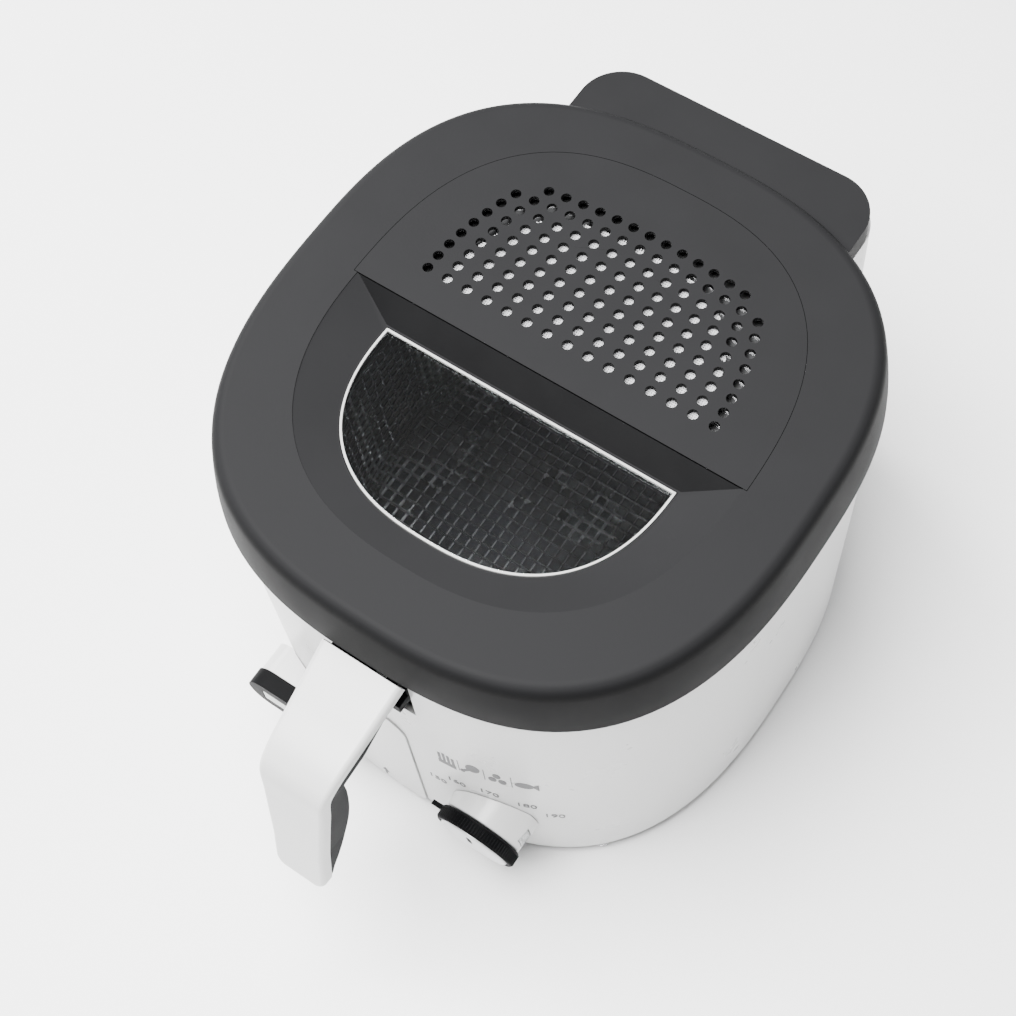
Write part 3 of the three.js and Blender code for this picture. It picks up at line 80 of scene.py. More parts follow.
# ---- camera and light -----------------------------------------------------------------------
camera = bpy.data.objects.new("camera", bpy.data.cameras.new("camera"))
bpy.context.collection.objects.link(camera)
bpy.context.scene.camera = camera
camera.data.sensor_width = 36
camera.data.lens = 69.035
camera.data.shift_x = -0.0521
camera.data.shift_y = -0.1177
right = Vector((0.83065878, 0.55529317, -0.04068764))
up = Vector((-0.46804476, 0.73598516, 0.48914205))
back = Vector((0.30156274, -0.3872665, 0.8712546))
turn = Matrix((right, up, back)).transposed().to_4x4()
camera.matrix_world = Matrix.Translation(TO_ROW @ Vector((259.97, -333.86, 951.09))) @ turn


def area_light(name, at, size, watts, target=(0, 0, 0.1), colour=(1, 1, 1)):
    light = bpy.data.objects.new(name, bpy.data.lights.new(name, "AREA"))
    light.data.shape = "RECTANGLE"
    light.data.size, light.data.size_y = size
    light.data.energy = watts
    light.data.color = colour
    light.location = at
    light.rotation_euler = (Vector(target) - Vector(at)).to_track_quat("-Z", "Y").to_euler()
    bpy.context.collection.objects.link(light)
    return light


area_light("overhead", (-0.3, -0.3, 1.9), (1.4, 1.4), 190)
area_light("key", (-1.6, 0.55, 1.2), (0.7, 0.7), 45)
world = bpy.data.worlds.new("studio")
bpy.context.scene.world = world
world.use_nodes = True
world.node_tree.nodes["Background"].inputs["Color"].default_value = (0.98, 0.99, 1, 1)
world.node_tree.nodes["Background"].inputs["Strength"].default_value = 0.27


# ---- materials ------------------------------------------------------------------------------
def material(name, colour, rough, metal=0.0, mottle=0.06, mottle_scale=30.0, rough_swing=0.08,
             grain_scale=900.0, grain=0.05, grain_depth=0.0001, stretch=(1, 1, 1), upright_shade=None, **sockets):
    """Principled surface whose colour and roughness drift with noise and whose grain is bump.

    With an upright colour given, faces that stand up take it as painted shade and flat ones keep the first."""
    made = bpy.data.materials.new(name)
    made.use_nodes = True
    nodes, links = made.node_tree.nodes, made.node_tree.links
    shader = nodes["Principled BSDF"]
    place = nodes.new("ShaderNodeTexCoord")
    mapping = nodes.new("ShaderNodeMapping")
    mapping.inputs["Scale"].default_value = stretch
    links.new(place.outputs["Object"], mapping.inputs["Vector"])
    drift = nodes.new("ShaderNodeTexNoise")
    drift.inputs["Scale"].default_value = mottle_scale
    drift.inputs["Detail"].default_value = 4
    links.new(mapping.outputs["Vector"], drift.inputs["Vector"])
    ramp = nodes.new("ShaderNodeValToRGB")
    ramp.color_ramp.elements[0].position = 0.3
    ramp.color_ramp.elements[1].position = 0.7
    ramp.color_ramp.elements[0].color = [c * (1 - mottle) for c in colour] + [1]
    ramp.color_ramp.elements[1].color = [min(1, c * (1 + mottle)) for c in colour] + [1]
    links.new(drift.outputs["Fac"], ramp.inputs["Fac"])
    links.new(ramp.outputs["Color"], shader.inputs["Base Color"])
    # Painted shade: upright faces are mixed towards the darker colour by how level their normal is.
    if upright_shade:
        facing = nodes.new("ShaderNodeSeparateXYZ")
        links.new(place.outputs["Normal"], facing.inputs["Vector"])
        flat = nodes.new("ShaderNodeMapRange")
        flat.inputs["From Min"].default_value = 0.25
        flat.inputs["From Max"].default_value = 0.8
        links.new(facing.outputs["Z"], flat.inputs["Value"])
        shade_mix = nodes.new("ShaderNodeMix")
        shade_mix.data_type = "RGBA"
        shade_mix.inputs["A"].default_value = (*upright_shade, 1)
        links.new(flat.outputs["Result"], shade_mix.inputs["Factor"])
        links.new(ramp.outputs["Color"], shade_mix.inputs["B"])
        links.new(shade_mix.outputs["Result"], shader.inputs["Base Color"])
    spread = nodes.new("ShaderNodeMapRange")
    spread.inputs["To Min"].default_value = max(0, rough - rough_swing)
    spread.inputs["To Max"].default_value = min(1, rough + rough_swing)
    links.new(drift.outputs["Fac"], spread.inputs["Value"])
    links.new(spread.outputs["Result"], shader.inputs["Roughness"])
    shader.inputs["Metallic"].default_value = metal
    if grain:
        fine = nodes.new("ShaderNodeTexNoise")
        fine.inputs["Scale"].default_value = grain_scale
        fine.inputs["Detail"].default_value = 2
        links.new(mapping.outputs["Vector"], fine.inputs["Vector"])
        bump = nodes.new("ShaderNodeBump")
        bump.inputs["Strength"].default_value = grain
        bump.inputs["Distance"].default_value = grain_depth
        links.new(fine.outputs["Fac"], bump.inputs["Height"])
        links.new(bump.outputs["Normal"], shader.inputs["Normal"])
    for socket, value in sockets.items():
        shader.inputs[socket.replace("_", " ").title().replace("Ior", "IOR")].default_value = value
    return made


LOOK = {
    "white_plastic": material("white_plastic", (0.61, 0.61, 0.605), 0.3, mottle=0.012, grain_scale=400,
                              grain=0.04),
    # The lid's upright band takes a darker colour: painted shade for light falling mostly from above.
    "lid_plastic": material("lid_plastic", (0.0115, 0.0115, 0.0121), 0.55, mottle=0.04, grain_scale=2600,
                            grain=0.45, upright_shade=(0.0016, 0.0016, 0.0018), specular_ior_level=0.045),
    "black_plastic": material("black_plastic", (0.004, 0.004, 0.0043), 0.5, mottle=0.15, grain_scale=2200,
                              grain=0.35, specular_ior_level=0.03),
    "black_rubber": material("black_rubber", (0.025, 0.025, 0.025), 0.75, mottle=0.15, grain_scale=1500,
                             grain=0.6),
    "grey_silicone": material("grey_silicone", (0.42, 0.42, 0.41), 0.55, mottle=0.05, grain_scale=1200,
                              grain=0.25),
    "steel": material("steel", (0.62, 0.62, 0.63), 0.26, metal=1, mottle=0.05, grain_scale=500,
                      grain=0.15, stretch=(1, 1, 0.12)),
    "bowl_coating": material("bowl_coating", (0.05, 0.05, 0.053), 0.34, mottle=0.3, mottle_scale=1400,
                             grain_scale=1800, grain=0.4),
    "aluminium": material("aluminium", (0.72, 0.72, 0.73), 0.36, metal=1, mottle=0.04,
                          stretch=(1, 0.1, 1), grain_scale=900, grain=0.25),
    "window_glass": material("window_glass", (0.93, 0.96, 0.97), 0.03, mottle=0.01, rough_swing=0.015,
                             grain=0, transmission_weight=1.0, ior=1.47),
    "amber": material("amber", (0.75, 0.3, 0.05), 0.2, mottle=0.1, grain=0, transmission_weight=0.6),
    "charcoal": material("charcoal", (0.014, 0.014, 0.014), 0.95, mottle=0.5, mottle_scale=900,
                         grain_scale=700, grain=1.0, grain_depth=0.0006),
    "silver_plastic": material("silver_plastic", (0.62, 0.62, 0.63), 0.3, metal=0.25, mottle=0.03,
                               grain_scale=1500, grain=0.2),
}
LOOK["basket_wire"] = LOOK["steel"]
# Near-black painted shade for the lid's forward-facing step faces.
STEP_SHADE = material("step_painted_shade", (0.003, 0.003, 0.0033), 0.4, mottle=0.1, grain_scale=2200, grain=0.2,
                      specular_ior_level=0.1)
LENS = material("pilot_lens", (0.86, 0.88, 0.88), 0.2, mottle=0.03, grain=0, transmission_weight=0.75)
PRINT = material("print_grey", (0.07, 0.07, 0.073), 0.5, mottle=0.1, grain_scale=1500, grain=0.1)
DISPLAY = material("display", (0.23, 0.25, 0.22), 0.16, mottle=0.06, grain=0)
FLOOR = material("floor", (0.93, 0.93, 0.93), 0.45, mottle=0.012, mottle_scale=3, grain_scale=250,
                 grain=0.05)


# ---- shape helpers --------------------------------------------------------------------------
def shape(points, faces):
    """A closed mesh object with its faces turned outwards."""
    mesh = bpy.data.meshes.new("shape")
    mesh.from_pydata([tuple(p) for p in points], [], faces)
    work = bmesh.new()
    work.from_mesh(mesh)
    bmesh.ops.remove_doubles(work, verts=work.verts, dist=1e-5)
    bmesh.ops.recalc_face_normals(work, faces=work.faces)
    work.to_mesh(mesh)
    work.free()
    made = bpy.data.objects.new("shape", mesh)
    bpy.context.collection.objects.link(made)
    return made


def combine(base, tools, operation):
    for tool in tools:
        step = base.modifiers.new("step", "BOOLEAN")
        step.operation = operation
        step.solver = "MANIFOLD"
        step.object = tool
    bpy.context.view_layer.update()
    result = bpy.data.meshes.new_from_object(base.evaluated_get(bpy.context.evaluated_depsgraph_get()))
    base.modifiers.clear()
    base.data = result
    for tool in tools:
        bpy.data.objects.remove(tool)
    return base


def minus(base, *tools):
    return combine(base, tools, "DIFFERENCE")


def plus(base, *tools):
    return combine(base, tools, "UNION")


def within(base, *tools):
    return combine(base, tools, "INTERSECT")


def loft(rings, closed=False):
    """Skin over rings of equal count; capped at both ends, or joined end to start."""
    count = len(rings[0])
    points = [p for ring in rings for p in ring]
    faces = []
    levels = len(rings) if closed else len(rings) - 1
    for level in range(levels):
        low, high = level * count, (level + 1) % len(rings) * count
        for i in range(count):
            j = (i + 1) % count
            faces.append((low + i, low + j, high + j, high + i))
    if not closed:
        for ring, start in ((rings[0], 0), (rings[-1], (len(rings) - 1) * count)):
            centre = len(points)
            points.append(tuple(sum(p[k] for p in ring) / count for k in range(3)))
            faces += [(start + i, start + (i + 1) % count, centre) for i in range(count)]
    return shape(points, faces)


def oval(half, front, rear, z, steps=144):
    ring = []
    for i in range(steps):
        angle = 2 * math.pi * i / steps
        c, s = math.cos(angle), math.sin(angle)
        r = (abs(c) ** OUTLINE_POWER + abs(s) ** OUTLINE_POWER) ** (-1 / OUTLINE_POWER)
        ring.append((half * c * r, (front if s < 0 else rear) * s * r, z))
    return ring


def dee(half, straight, tip, height, squareness=2.45, steps=72):
    ring = []
    for i in range(steps + 1):
        angle = math.pi * i / steps
        c, s = math.cos(angle), math.sin(angle)
        r = (abs(c) ** squareness + abs(s) ** squareness) ** (-1 / squareness)
        y = straight + (tip - straight) * s * r
        ring.append((half * c * r, y, height(y)))
    return ring


def box(x0, x1, y0, y1, z0, z1):
    ring = [(x0, y0), (x1, y0), (x1, y1), (x0, y1)]
    return loft([[(x, y, z0) for x, y in ring], [(x, y, z1) for x, y in ring]])


def frame_along(start, end):
    ahead = (Vector(end) - Vector(start)).normalized()
    side = ahead.orthogonal().normalized()
    return ahead, side, ahead.cross(side)


def turned(profile, start, end, sides=64):
    """Profile of (radius, distance) turned about the line from start towards end."""
    ahead, side, other = frame_along(start, end)
    rings = []
    for radius, distance in profile:
        centre = Vector(start) + ahead * distance
        rings.append([centre + (side * math.cos(a) + other * math.sin(a)) * max(radius, 1e-4)
                      for a in (2 * math.pi * i / sides for i in range(sides))])
    closed = profile[0] == profile[-1]
    return loft(rings[:-1] if closed else rings, closed)


def rod(start, end, radius, sides=48, end_radius=None):
    length = (Vector(end) - Vector(start)).length
    return turned([(radius, 0), (end_radius or radius, length)], start, end, sides)


def rounded(x0, x1, y0, y1, radii, steps=10):
    """Rectangle outline with its corners rounded: low left, low right, high right, high left."""
    points = []
    corners = ((x0, y0, 1, 1, 180), (x1, y0, -1, 1, 270), (x1, y1, -1, -1, 0), (x0, y1, 1, -1, 90))
    for (x, y, sx, sy, start), r in zip(corners, radii):
        if r <= 0:
            points.append((x, y))
            continue
        for i in range(steps + 1):
            a = math.radians(start + 90 * i / steps)
            points.append((x + sx * r + r * math.cos(a), y + sy * r + r * math.sin(a)))
    return points


def slab(outline, low, high):
    return loft([[(x, y, low) for x, y in outline], [(x, y, high) for x, y in outline]])


def standing(outline, near, far):
    """An outline drawn as (x, z), from y = near to y = far."""
    return loft([[(x, near, z) for x, z in outline], [(x, far, z) for x, z in outline]])


def tube_parts(path, radius, sides=8, closed=False):
    """Points and faces of a round wire along a path."""
    path = [Vector(p) for p in path]
    count = len(path)
    points, faces = [], []
    normal = None
    for i, p in enumerate(path):
        ahead = path[(i + 1) % count] - path[i - 1] if closed or 0 < i < count - 1 else (
            path[1] - path[0] if i == 0 else path[-1] - path[-2])
        ahead.normalize()
        normal = ahead.orthogonal() if normal is None else normal - ahead * normal.dot(ahead)
        normal.normalize()
        other = ahead.cross(normal)
        for k in range(sides):
            a = 2 * math.pi * k / sides
            points.append(p + (normal * math.cos(a) + other * math.sin(a)) * radius)
    for i in range(count if closed else count - 1):
        for k in range(sides):
            a, b = i * sides, (i + 1) % count * sides
            faces.append((a + k, a + (k + 1) % sides, b + (k + 1) % sides, b + k))
    if not closed:
        faces += [tuple(range(sides))[::-1], tuple(range((count - 1) * sides, count * sides))]
    return points, faces


def wires(paths, radius, sides=8):
    points, faces = [], []
    for path, closed in paths:
        more, skin = tube_parts(path, radius, sides, closed)
        faces += [tuple(i + len(points) for i in face) for face in skin]
        points += more
    return shape(points, faces)


def place(name, made, body, look, nodes=(), bevel=0.5, angle=30, segments=2, extra=(), moved=True):
    """Names, finishes and hangs a shape on its body; nodes are the CAD pieces it stands for."""
    made.name = made.data.name = name
    made.data.materials.clear()
    made.data.materials.append(LOOK[look] if isinstance(look, str) else look)
    for more in extra:
        made.data.materials.append(more)
    if moved:
        made.data.transform(TO_ROW)
    work = bmesh.new()
    work.from_mesh(made.data)
    bmesh.ops.remove_doubles(work, verts=work.verts, dist=4e-6)
    bmesh.ops.dissolve_degenerate(work, edges=work.edges, dist=2e-6)
    work.to_mesh(made.data)
    work.free()
    made.data.shade_smooth()
    made.data.set_sharp_from_angle(angle=math.radians(angle))
    if bevel:
        soft = made.modifiers.new("edges", "BEVEL")
        soft.width = bevel * MM
        soft.segments = segments
        soft.limit_method = "ANGLE"
        soft.angle_limit = math.radians(angle)
        soft.harden_normals = True
        soft.miter_outer = "MITER_ARC"
    even = made.modifiers.new("normals", "WEIGHTED_NORMAL")
    even.weight = 90
    even.keep_sharp = True
    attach(made, body)
    if nodes:
        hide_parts(*nodes)
    return made


# ---- casing ---------------------------------------------------------------------------------
def casing_ring(z, inset=0.0):
    drop = 1 - (z - CASING_LOW) / (CASING_TOP - CASING_LOW)
    return oval(CASING_HALF - SIDE_TAPER * drop - inset, CASING_FRONT - FRONT_TAPER * drop - inset,
                CASING_REAR - SIDE_TAPER * drop - inset, z)


def casing_block(inset, low=CASING_LOW, high=CASING_TOP, levels=14):
    return loft([casing_ring(low + (high - low) * i / levels, inset) for i in range(levels + 1)])


def face_y(x, z=CASING_TOP):
    drop = 1 - (z - CASING_LOW) / (CASING_TOP - CASING_LOW)
    across = abs(x / (CASING_HALF - SIDE_TAPER * drop)) ** OUTLINE_POWER
    return -(CASING_FRONT - FRONT_TAPER * drop) * (1 - across) ** (1 / OUTLINE_POWER)


def housing_block(inset, low, high):
    corner = REAR_CORNER - inset
    return slab(rounded(inset - REAR_HALF, REAR_HALF - inset, CASING_REAR - 50, REAR_REACH - inset,
                        (0, 0, corner, corner), 16), low, high)


def door_block(grow, near, far):
    return standing(rounded(DOOR[0] - grow, DOOR[1] + grow, DOOR[2] - grow, DOOR[3] + grow,
                            [r + grow for r in DOOR_CORNERS], 12), near, far)


HINGE_X = DOOR[0] - 0.6
DOOR_HINGE_Y = face_y(DOOR[0]) - 1.4
LUG_RADIUS = 2.1
DOOR_PIN_BORE = 1.3


def lug(low, high, towards):
    near, far = sorted((HINGE_X + towards * 0.7, HINGE_X + towards * 4))
    barrel = rod((HINGE_X, DOOR_HINGE_Y, low), (HINGE_X, DOOR_HINGE_Y, high), LUG_RADIUS, 24)
    return plus(barrel, box(near, far, DOOR_HINGE_Y, DOOR_HINGE_Y + 5, low, high))


def lug_space(low, high):
    start, end = (HINGE_X, DOOR_HINGE_Y, low - GAP), (HINGE_X, DOOR_HINGE_Y, high + GAP)
    return rod(start, end, LUG_RADIUS + GAP, 24)


CASING_LUGS, DOOR_LUGS = ((26, 34), (92, 100)), ((34.4, 44), (82, 91.6))
CASING_BARRELS, LID_BARRELS = ((-60, -44), (-8, 8), (44, 60)), ((-43.5, -28), (28, 43.5))


def barrel(x0, x1, radius):
    return rod((x0, HINGE_Y, HINGE_Z), (x1, HINGE_Y, HINGE_Z), radius, 32)


def superpower(value, exponent):
    return math.copysign(abs(value) ** exponent, value)


slope = 2 * (OUTLINE_POWER - 1) / OUTLINE_POWER
BUTTON_OUT = Vector((superpower(math.cos(BUTTON_ANGLE), slope) / CASING_HALF,
                     superpower(math.sin(BUTTON_ANGLE), slope) / CASING_FRONT, 0)).normalized()
BUTTON_AT = Vector((CASING_HALF * superpower(math.cos(BUTTON_ANGLE), 2 / OUTLINE_POWER),
                    CASING_FRONT * superpower(math.sin(BUTTON_ANGLE), 2 / OUTLINE_POWER), BUTTON_Z))
BUTTON_ALONG = Vector((-BUTTON_OUT.y, BUTTON_OUT.x, 0))


def button_block(grow, start, end, steps=56):
    rings = []
    for out in (start, end):
        rings.append([BUTTON_AT + BUTTON_OUT * out
                      + BUTTON_ALONG * ((BUTTON_HALF + grow) * math.cos(a))
                      + Vector((0, 0, (BUTTON_TALL + grow) * math.sin(a)))
                      for a in (2 * math.pi * i / steps for i in range(steps))])
    return loft(rings)


KNOB_OUT = Vector((0, -math.cos(KNOB_TILT), -math.sin(KNOB_TILT)))
KNOB_BASE = Vector((KNOB_X, face_y(KNOB_X), KNOB_Z))


def knob_point(distance):
    return KNOB_BASE + KNOB_OUT * distance


TIMER_FACE_Y = face_y(TIMER_X)


def timer_block(grow, start, end):
    r = TIMER_TALL + grow - 0.01
    return standing(rounded(TIMER_X - TIMER_HALF - grow, TIMER_X + TIMER_HALF + grow,
                            TIMER_Z - TIMER_TALL - grow, TIMER_Z + TIMER_TALL + grow, (r, r, r, r), 16),
                    TIMER_FACE_Y - end, TIMER_FACE_Y - start)


def lid_clearance():
    return loft([oval(LID_HALF + 0.7, LID_FRONT + 0.7, LID_REAR + 0.7, z) for z in (CASING_TOP, LID_TOP)])


foot_profile = ((5, 4), (5.7, 2.7), (7.5, 1.2), (9.5, 0.4), (12, 0))
casing = loft([casing_ring(z, inset) for z, inset in foot_profile]
              + [casing_ring(12 + (CASING_TOP - 12) * i / 14) for i in range(1, 15)])
plus(casing, housing_block(0, CASING_LOW, REAR_Z),
     *[barrel(*span, HINGE_RADIUS) for span in CASING_BARRELS],
     *[lug(low, high, -1) for low, high in CASING_LUGS])
minus(casing, lid_clearance(), casing_block(CASING_WALL, CASING_LOW - 1, RIM_Z + 1),
      minus(housing_block(CASING_WALL, CASING_LOW - 1, REAR_Z - CASING_WALL), casing_block(0, 8.4, REAR_Z)),
      *[barrel(x0 - GAP, x1 + GAP, HINGE_RADIUS + 0.7) for x0, x1 in LID_BARRELS],
      barrel(-70, 70, 1.9), barrel(-27.5, -8.5, HINGE_RADIUS + 2.2),
      door_block(GAP, -CASING_FRONT - 4, -CASING_FRONT + 8),
      *[lug_space(low, high) for low, high in DOOR_LUGS],
      box(-19.9, 19.9, -CASING_FRONT - 2, -CASING_FRONT + 8, 149.6, RIM_Z + 1),
      box(-HANDLE_HALF - 0.8, HANDLE_HALF + 0.8, -CASING_FRONT - 2, -CASING_FRONT + 8, PIVOT_Z, RIM_Z + 2),
      button_block(GAP, -8, 4), rod(knob_point(-8), knob_point(4), 6), timer_block(-4, -9, 2),
      rod((34, REAR_REACH - 6, 24), (34, REAR_REACH + 2, 24), 6.4))
place("casing", casing, "housing", "white_plastic", ["outer_casing"], bevel=0.7)

button = within(button_block(0, -5, 6), casing_block(-0.5, 0, CASING_TOP + 10))
minus(button, casing_block(CASING_WALL - 0.6, 0, CASING_TOP + 10))
plus(button, rod(BUTTON_AT - BUTTON_OUT * 1.5, BUTTON_AT - BUTTON_OUT * 9, 3))
place("release_key", button, "release_button", "white_plastic", ["release_button"], bevel=0.6)

# ---- drain door -----------------------------------------------------------------------------
door = within(door_block(-0.2, -CASING_FRONT - 6, -CASING_FRONT + 12), casing_block(-0.8, 0, CASING_TOP))
minus(door, casing_block(CASING_WALL - 0.3, 0, CASING_TOP),
      *[lug_space(low, high) for low, high in CASING_LUGS])
plus(door, *[lug(low, high, 1) for low, high in DOOR_LUGS])
minus(door, rod((HINGE_X, DOOR_HINGE_Y, 20), (HINGE_X, DOOR_HINGE_Y, 106), DOOR_PIN_BORE, 24))
place("drain_door_panel", door, "drain_door", "white_plastic", ["drain_door"], bevel=0.6)

# ---- thermostat -----------------------------------------------------------------------------
collar = turned([(5, -8), (KNOB_RADIUS - 0.5, -8), (KNOB_RADIUS - 0.6, 0),
                 (KNOB_RADIUS - 1.5, COLLAR - 0.5), (KNOB_RADIUS - 2.1, COLLAR), (5, COLLAR), (5, COLLAR - 2),
                 (KNOB_RADIUS - 4, COLLAR - 2), (KNOB_RADIUS - 3.4, -6.5), (5, -6.5), (5, -8)],
                knob_point(0), knob_point(1), 96)
minus(collar, casing_block(-0.3), box(KNOB_X + 12, KNOB_X + 30, KNOB_BASE.y - COLLAR + 2.6, KNOB_BASE.y + 2,
                                      KNOB_Z - 7, KNOB_Z + 7))
place("knob_collar", collar, "housing", "white_plastic", ["thermostat_collar"], bevel=0.35)

RIBS, RING_DEPTH = 84, 7.0
ring_back = COLLAR + 0.6
ahead, side, other = KNOB_OUT, Vector((1, 0, 0)), Vector((1, 0, 0)).cross(KNOB_OUT)


def knob_ring(radius, deep, distance):
    """A round outline with a fine rib at every other point, seen along the knob's axis."""
    ring = []
    for i in range(RIBS * 4):
        a = 2 * math.pi * i / (RIBS * 4)
        r = radius - (deep if i % 4 in (2, 3) else 0)
        ring.append(knob_point(distance) + (side * math.cos(a) + other * math.sin(a)) * r)
    return ring


face_start, face_end = ring_back + 2 + GAP, ring_back + RING_DEPTH + 1.2
rings = [knob_ring(KNOB_RADIUS - 0.9, 0, ring_back), knob_ring(KNOB_RADIUS, 0, ring_back + 0.8),
         knob_ring(KNOB_RADIUS, 0, ring_back + 1.4), knob_ring(KNOB_RADIUS, 0.55, ring_back + 1.6),
         knob_ring(KNOB_RADIUS, 0.55, ring_back + RING_DEPTH - 1.2),
         knob_ring(KNOB_RADIUS - 0.3, 0.3, ring_back + RING_DEPTH - 0.7),
         knob_ring(KNOB_RADIUS - 1.0, 0, ring_back + RING_DEPTH)]
knob = minus(loft(rings),
             rod(knob_point(ring_back + 2), knob_point(ring_back + RING_DEPTH + 1), KNOB_RADIUS - 2.6, 96),
             rod(knob_point(0), knob_point(ring_back + 4), 3.4))
pointer = [(2 - KNOB_RADIUS, -2.6), (2 - KNOB_RADIUS, 2.6), (-KNOB_RADIUS - 6, 0.5),
           (-KNOB_RADIUS - 6, -0.5)]
plus(knob, loft([[knob_point(ring_back + d) + side * x - other * z for x, z in pointer]
                 for d in (0.4, 2.8)]))
place("knob_grip", knob, "thermostat_knob", "black_plastic", ["knob_ring"], bevel=0)
face = turned([(0, face_start), (KNOB_RADIUS - 3, face_start), (KNOB_RADIUS - 3, face_end - 1.4),
               (KNOB_RADIUS - 3.5, face_end - 0.5), (KNOB_RADIUS - 4.6, face_end), (0, face_end + 0.5)],
              knob_point(0), knob_point(1), 96)
mark_slot = rounded(-1.4, 1.4, 4, KNOB_RADIUS - 7, (1.3,) * 4, 5)
minus(face, rod(knob_point(0), knob_point(face_start + 3.4), 3.4),
      loft([[knob_point(d) + side * x + Vector((0, 0, z)) for x, z in mark_slot]
            for d in (face_end - 1, face_end + 2)]))
place("knob_cap", face, "thermostat_knob", "silver_plastic", ["knob_face"], bevel=0.15)

# ---- timer ----------------------------------------------------------------------------------
REACH, TIMER_END = 9.0, 18.0
pod = minus(timer_block(0, -6, REACH), timer_block(-2, -8, REACH - 2), casing_block(-0.3))
place("timer_pod", pod, "housing", "white_plastic", ["timer_collar"], bevel=0.6)
CAP_FACE_Y = TIMER_FACE_Y - TIMER_END
cap = minus(timer_block(0.8, REACH + GAP, TIMER_END),
            standing(rounded(TIMER_X - 13, TIMER_X + 5, TIMER_Z - 5, TIMER_Z + 5, (1.2,) * 4, 5),
                     CAP_FACE_Y - 1, CAP_FACE_Y + 2),
            rod((TIMER_X + 12, CAP_FACE_Y - 1, TIMER_Z), (TIMER_X + 12, CAP_FACE_Y + 4, TIMER_Z), 3.6),
            rod((TIMER_X - 5, CAP_FACE_Y + 3.4, TIMER_Z), (TIMER_X - 5, TIMER_FACE_Y - REACH, TIMER_Z), 7.4))
place("timer_cap", cap, "housing", "black_plastic", ["timer_body"], bevel=1.1, segments=3)


# ---- lid ------------------------------------------------------------------------------------
def lid_ring(z, inset):
    return oval(LID_HALF - inset, LID_FRONT - inset, LID_REAR - inset, z, 192)


def window_height(offset):
    def height(y):
        share = (WINDOW_REAR - y) / (WINDOW_FRONT + WINDOW_REAR)
        return LID_TOP - WINDOW_DEPTH + WINDOW_RISE * max(0.0, min(1.0, share)) + offset
    return height


def window_dee(inset, offset):
    return dee(WINDOW_HALF - inset, WINDOW_REAR - inset, -WINDOW_FRONT + inset, window_height(offset))


def window_slab(inset, low, high):
    return loft([window_dee(inset, low), window_dee(inset, high)])


def dish(grow):
    top = dee(DISH_HALF + grow, STEP_Y + grow, -DISH_FRONT - grow, lambda y: LID_TOP - 0.4)
    return loft([window_dee(-grow, -grow), top, [(x, y, z + 3) for x, y, z in top]])


def filter_slab(inset, low, high):
    return loft([dee(DISH_HALF + 1.5 - inset, STEP_Y + inset, FILTER_REAR - inset, lambda y: z, 2.6)
                 for z in (low, high)])


LEDGE_Z, LEDGE = LID_TOP - COVER_THICKNESS - GAP, 5.0
lid_profile = ((0, 0), (5, 0.25), (10, 0.65), (16, 1.3), (21, 1.95), (25.5, 2.6), (28, 3.1), (29.8, 3.8),
               (31.2, 4.8), (32.2, 6.0), (32.8, 7.4), (33, 9))
lid = loft([lid_ring(RIM_Z + z, inset) for z, inset in lid_profile])
inner = loft([lid_ring(RIM_Z - 1, LID_WALL), lid_ring(RIM_Z + 20, 2 + LID_WALL),
              lid_ring(LID_TOP - LID_WALL, 9 + LID_WALL)])
tongue = slab(rounded(-REAR_HALF, REAR_HALF, LID_REAR - 22, HINGE_Y, (0, 0, REAR_CORNER, REAR_CORNER), 16),
              REAR_Z + 1, LID_TOP - 11)
minus(tongue, *[barrel(x0 - GAP, x1 + GAP, HINGE_RADIUS + 0.7) for x0, x1 in CASING_BARRELS],
      barrel(-27.5, -8.5, HINGE_RADIUS + 2.2))
plus(lid, tongue)
minus(lid, minus(inner, dish(LID_WALL)))
plus(lid, *[barrel(x0, x1, HINGE_RADIUS) for x0, x1 in LID_BARRELS],
     *[box(x0, x1, HINGE_Y - 2.6, HINGE_Y + 1.6, HINGE_Z, REAR_Z + 3) for x0, x1 in LID_BARRELS])
minus(lid, barrel(-70, 70, 1.9), dish(0), window_slab(1, -9, 2),
      minus(filter_slab(LEDGE, LID_TOP - 12, LID_TOP + 1), dish(LID_WALL)),
      filter_slab(-GAP, LEDGE_Z, LID_TOP + 1))
place("lid_cover", lid, "lid", "lid_plastic", ["lid_shell"], bevel=0.45, extra=[STEP_SHADE])
# Painted shade: forward-facing faces on the step between window and filter cover take the near-black second
# material.
for face_ in lid.data.polygons:
    centre = face_.center / MM
    on_step = WINDOW_REAR - 2 < centre.y - SHIFT_Y / MM < STEP_Y + 1
    if face_.normal.y < -0.4 and abs(centre.x) < DISH_HALF and on_step:
        face_.material_index = 1

place("glass_seal", minus(window_slab(1 + GAP, -2.4, 0.3), window_slab(2.5, -9, 3)), "lid", "grey_silicone",
      ["window_gasket"], bevel=0.3)
place("glass_pane", window_slab(2.6, -2.4, -0.3), "lid", "window_glass", ["window_glass"], bevel=0.2)

LINER_Z = RIM_Z + 4
vent_x = (-45, -27, -9, 9, 27, 45)


def vents(low):
    return [slab(rounded(x - 5, x + 5, 8, 76, (4.9,) * 4, 6), low - 1, low + 3) for x in vent_x]


liner = loft([lid_ring(LINER_Z, LID_WALL + 2), lid_ring(LINER_Z + 1.6, LID_WALL + 2)])
minus(liner, loft([window_dee(-6, -40), window_dee(-6, 5)]), *vents(LINER_Z))
place("lid_lining", liner, "lid", "aluminium", ["lid_liner"], bevel=0.3)


def bowl_oval(grow, z):
    return oval(BOWL_HALF + grow, BOWL_FRONT + grow, BOWL_REAR + grow, z)


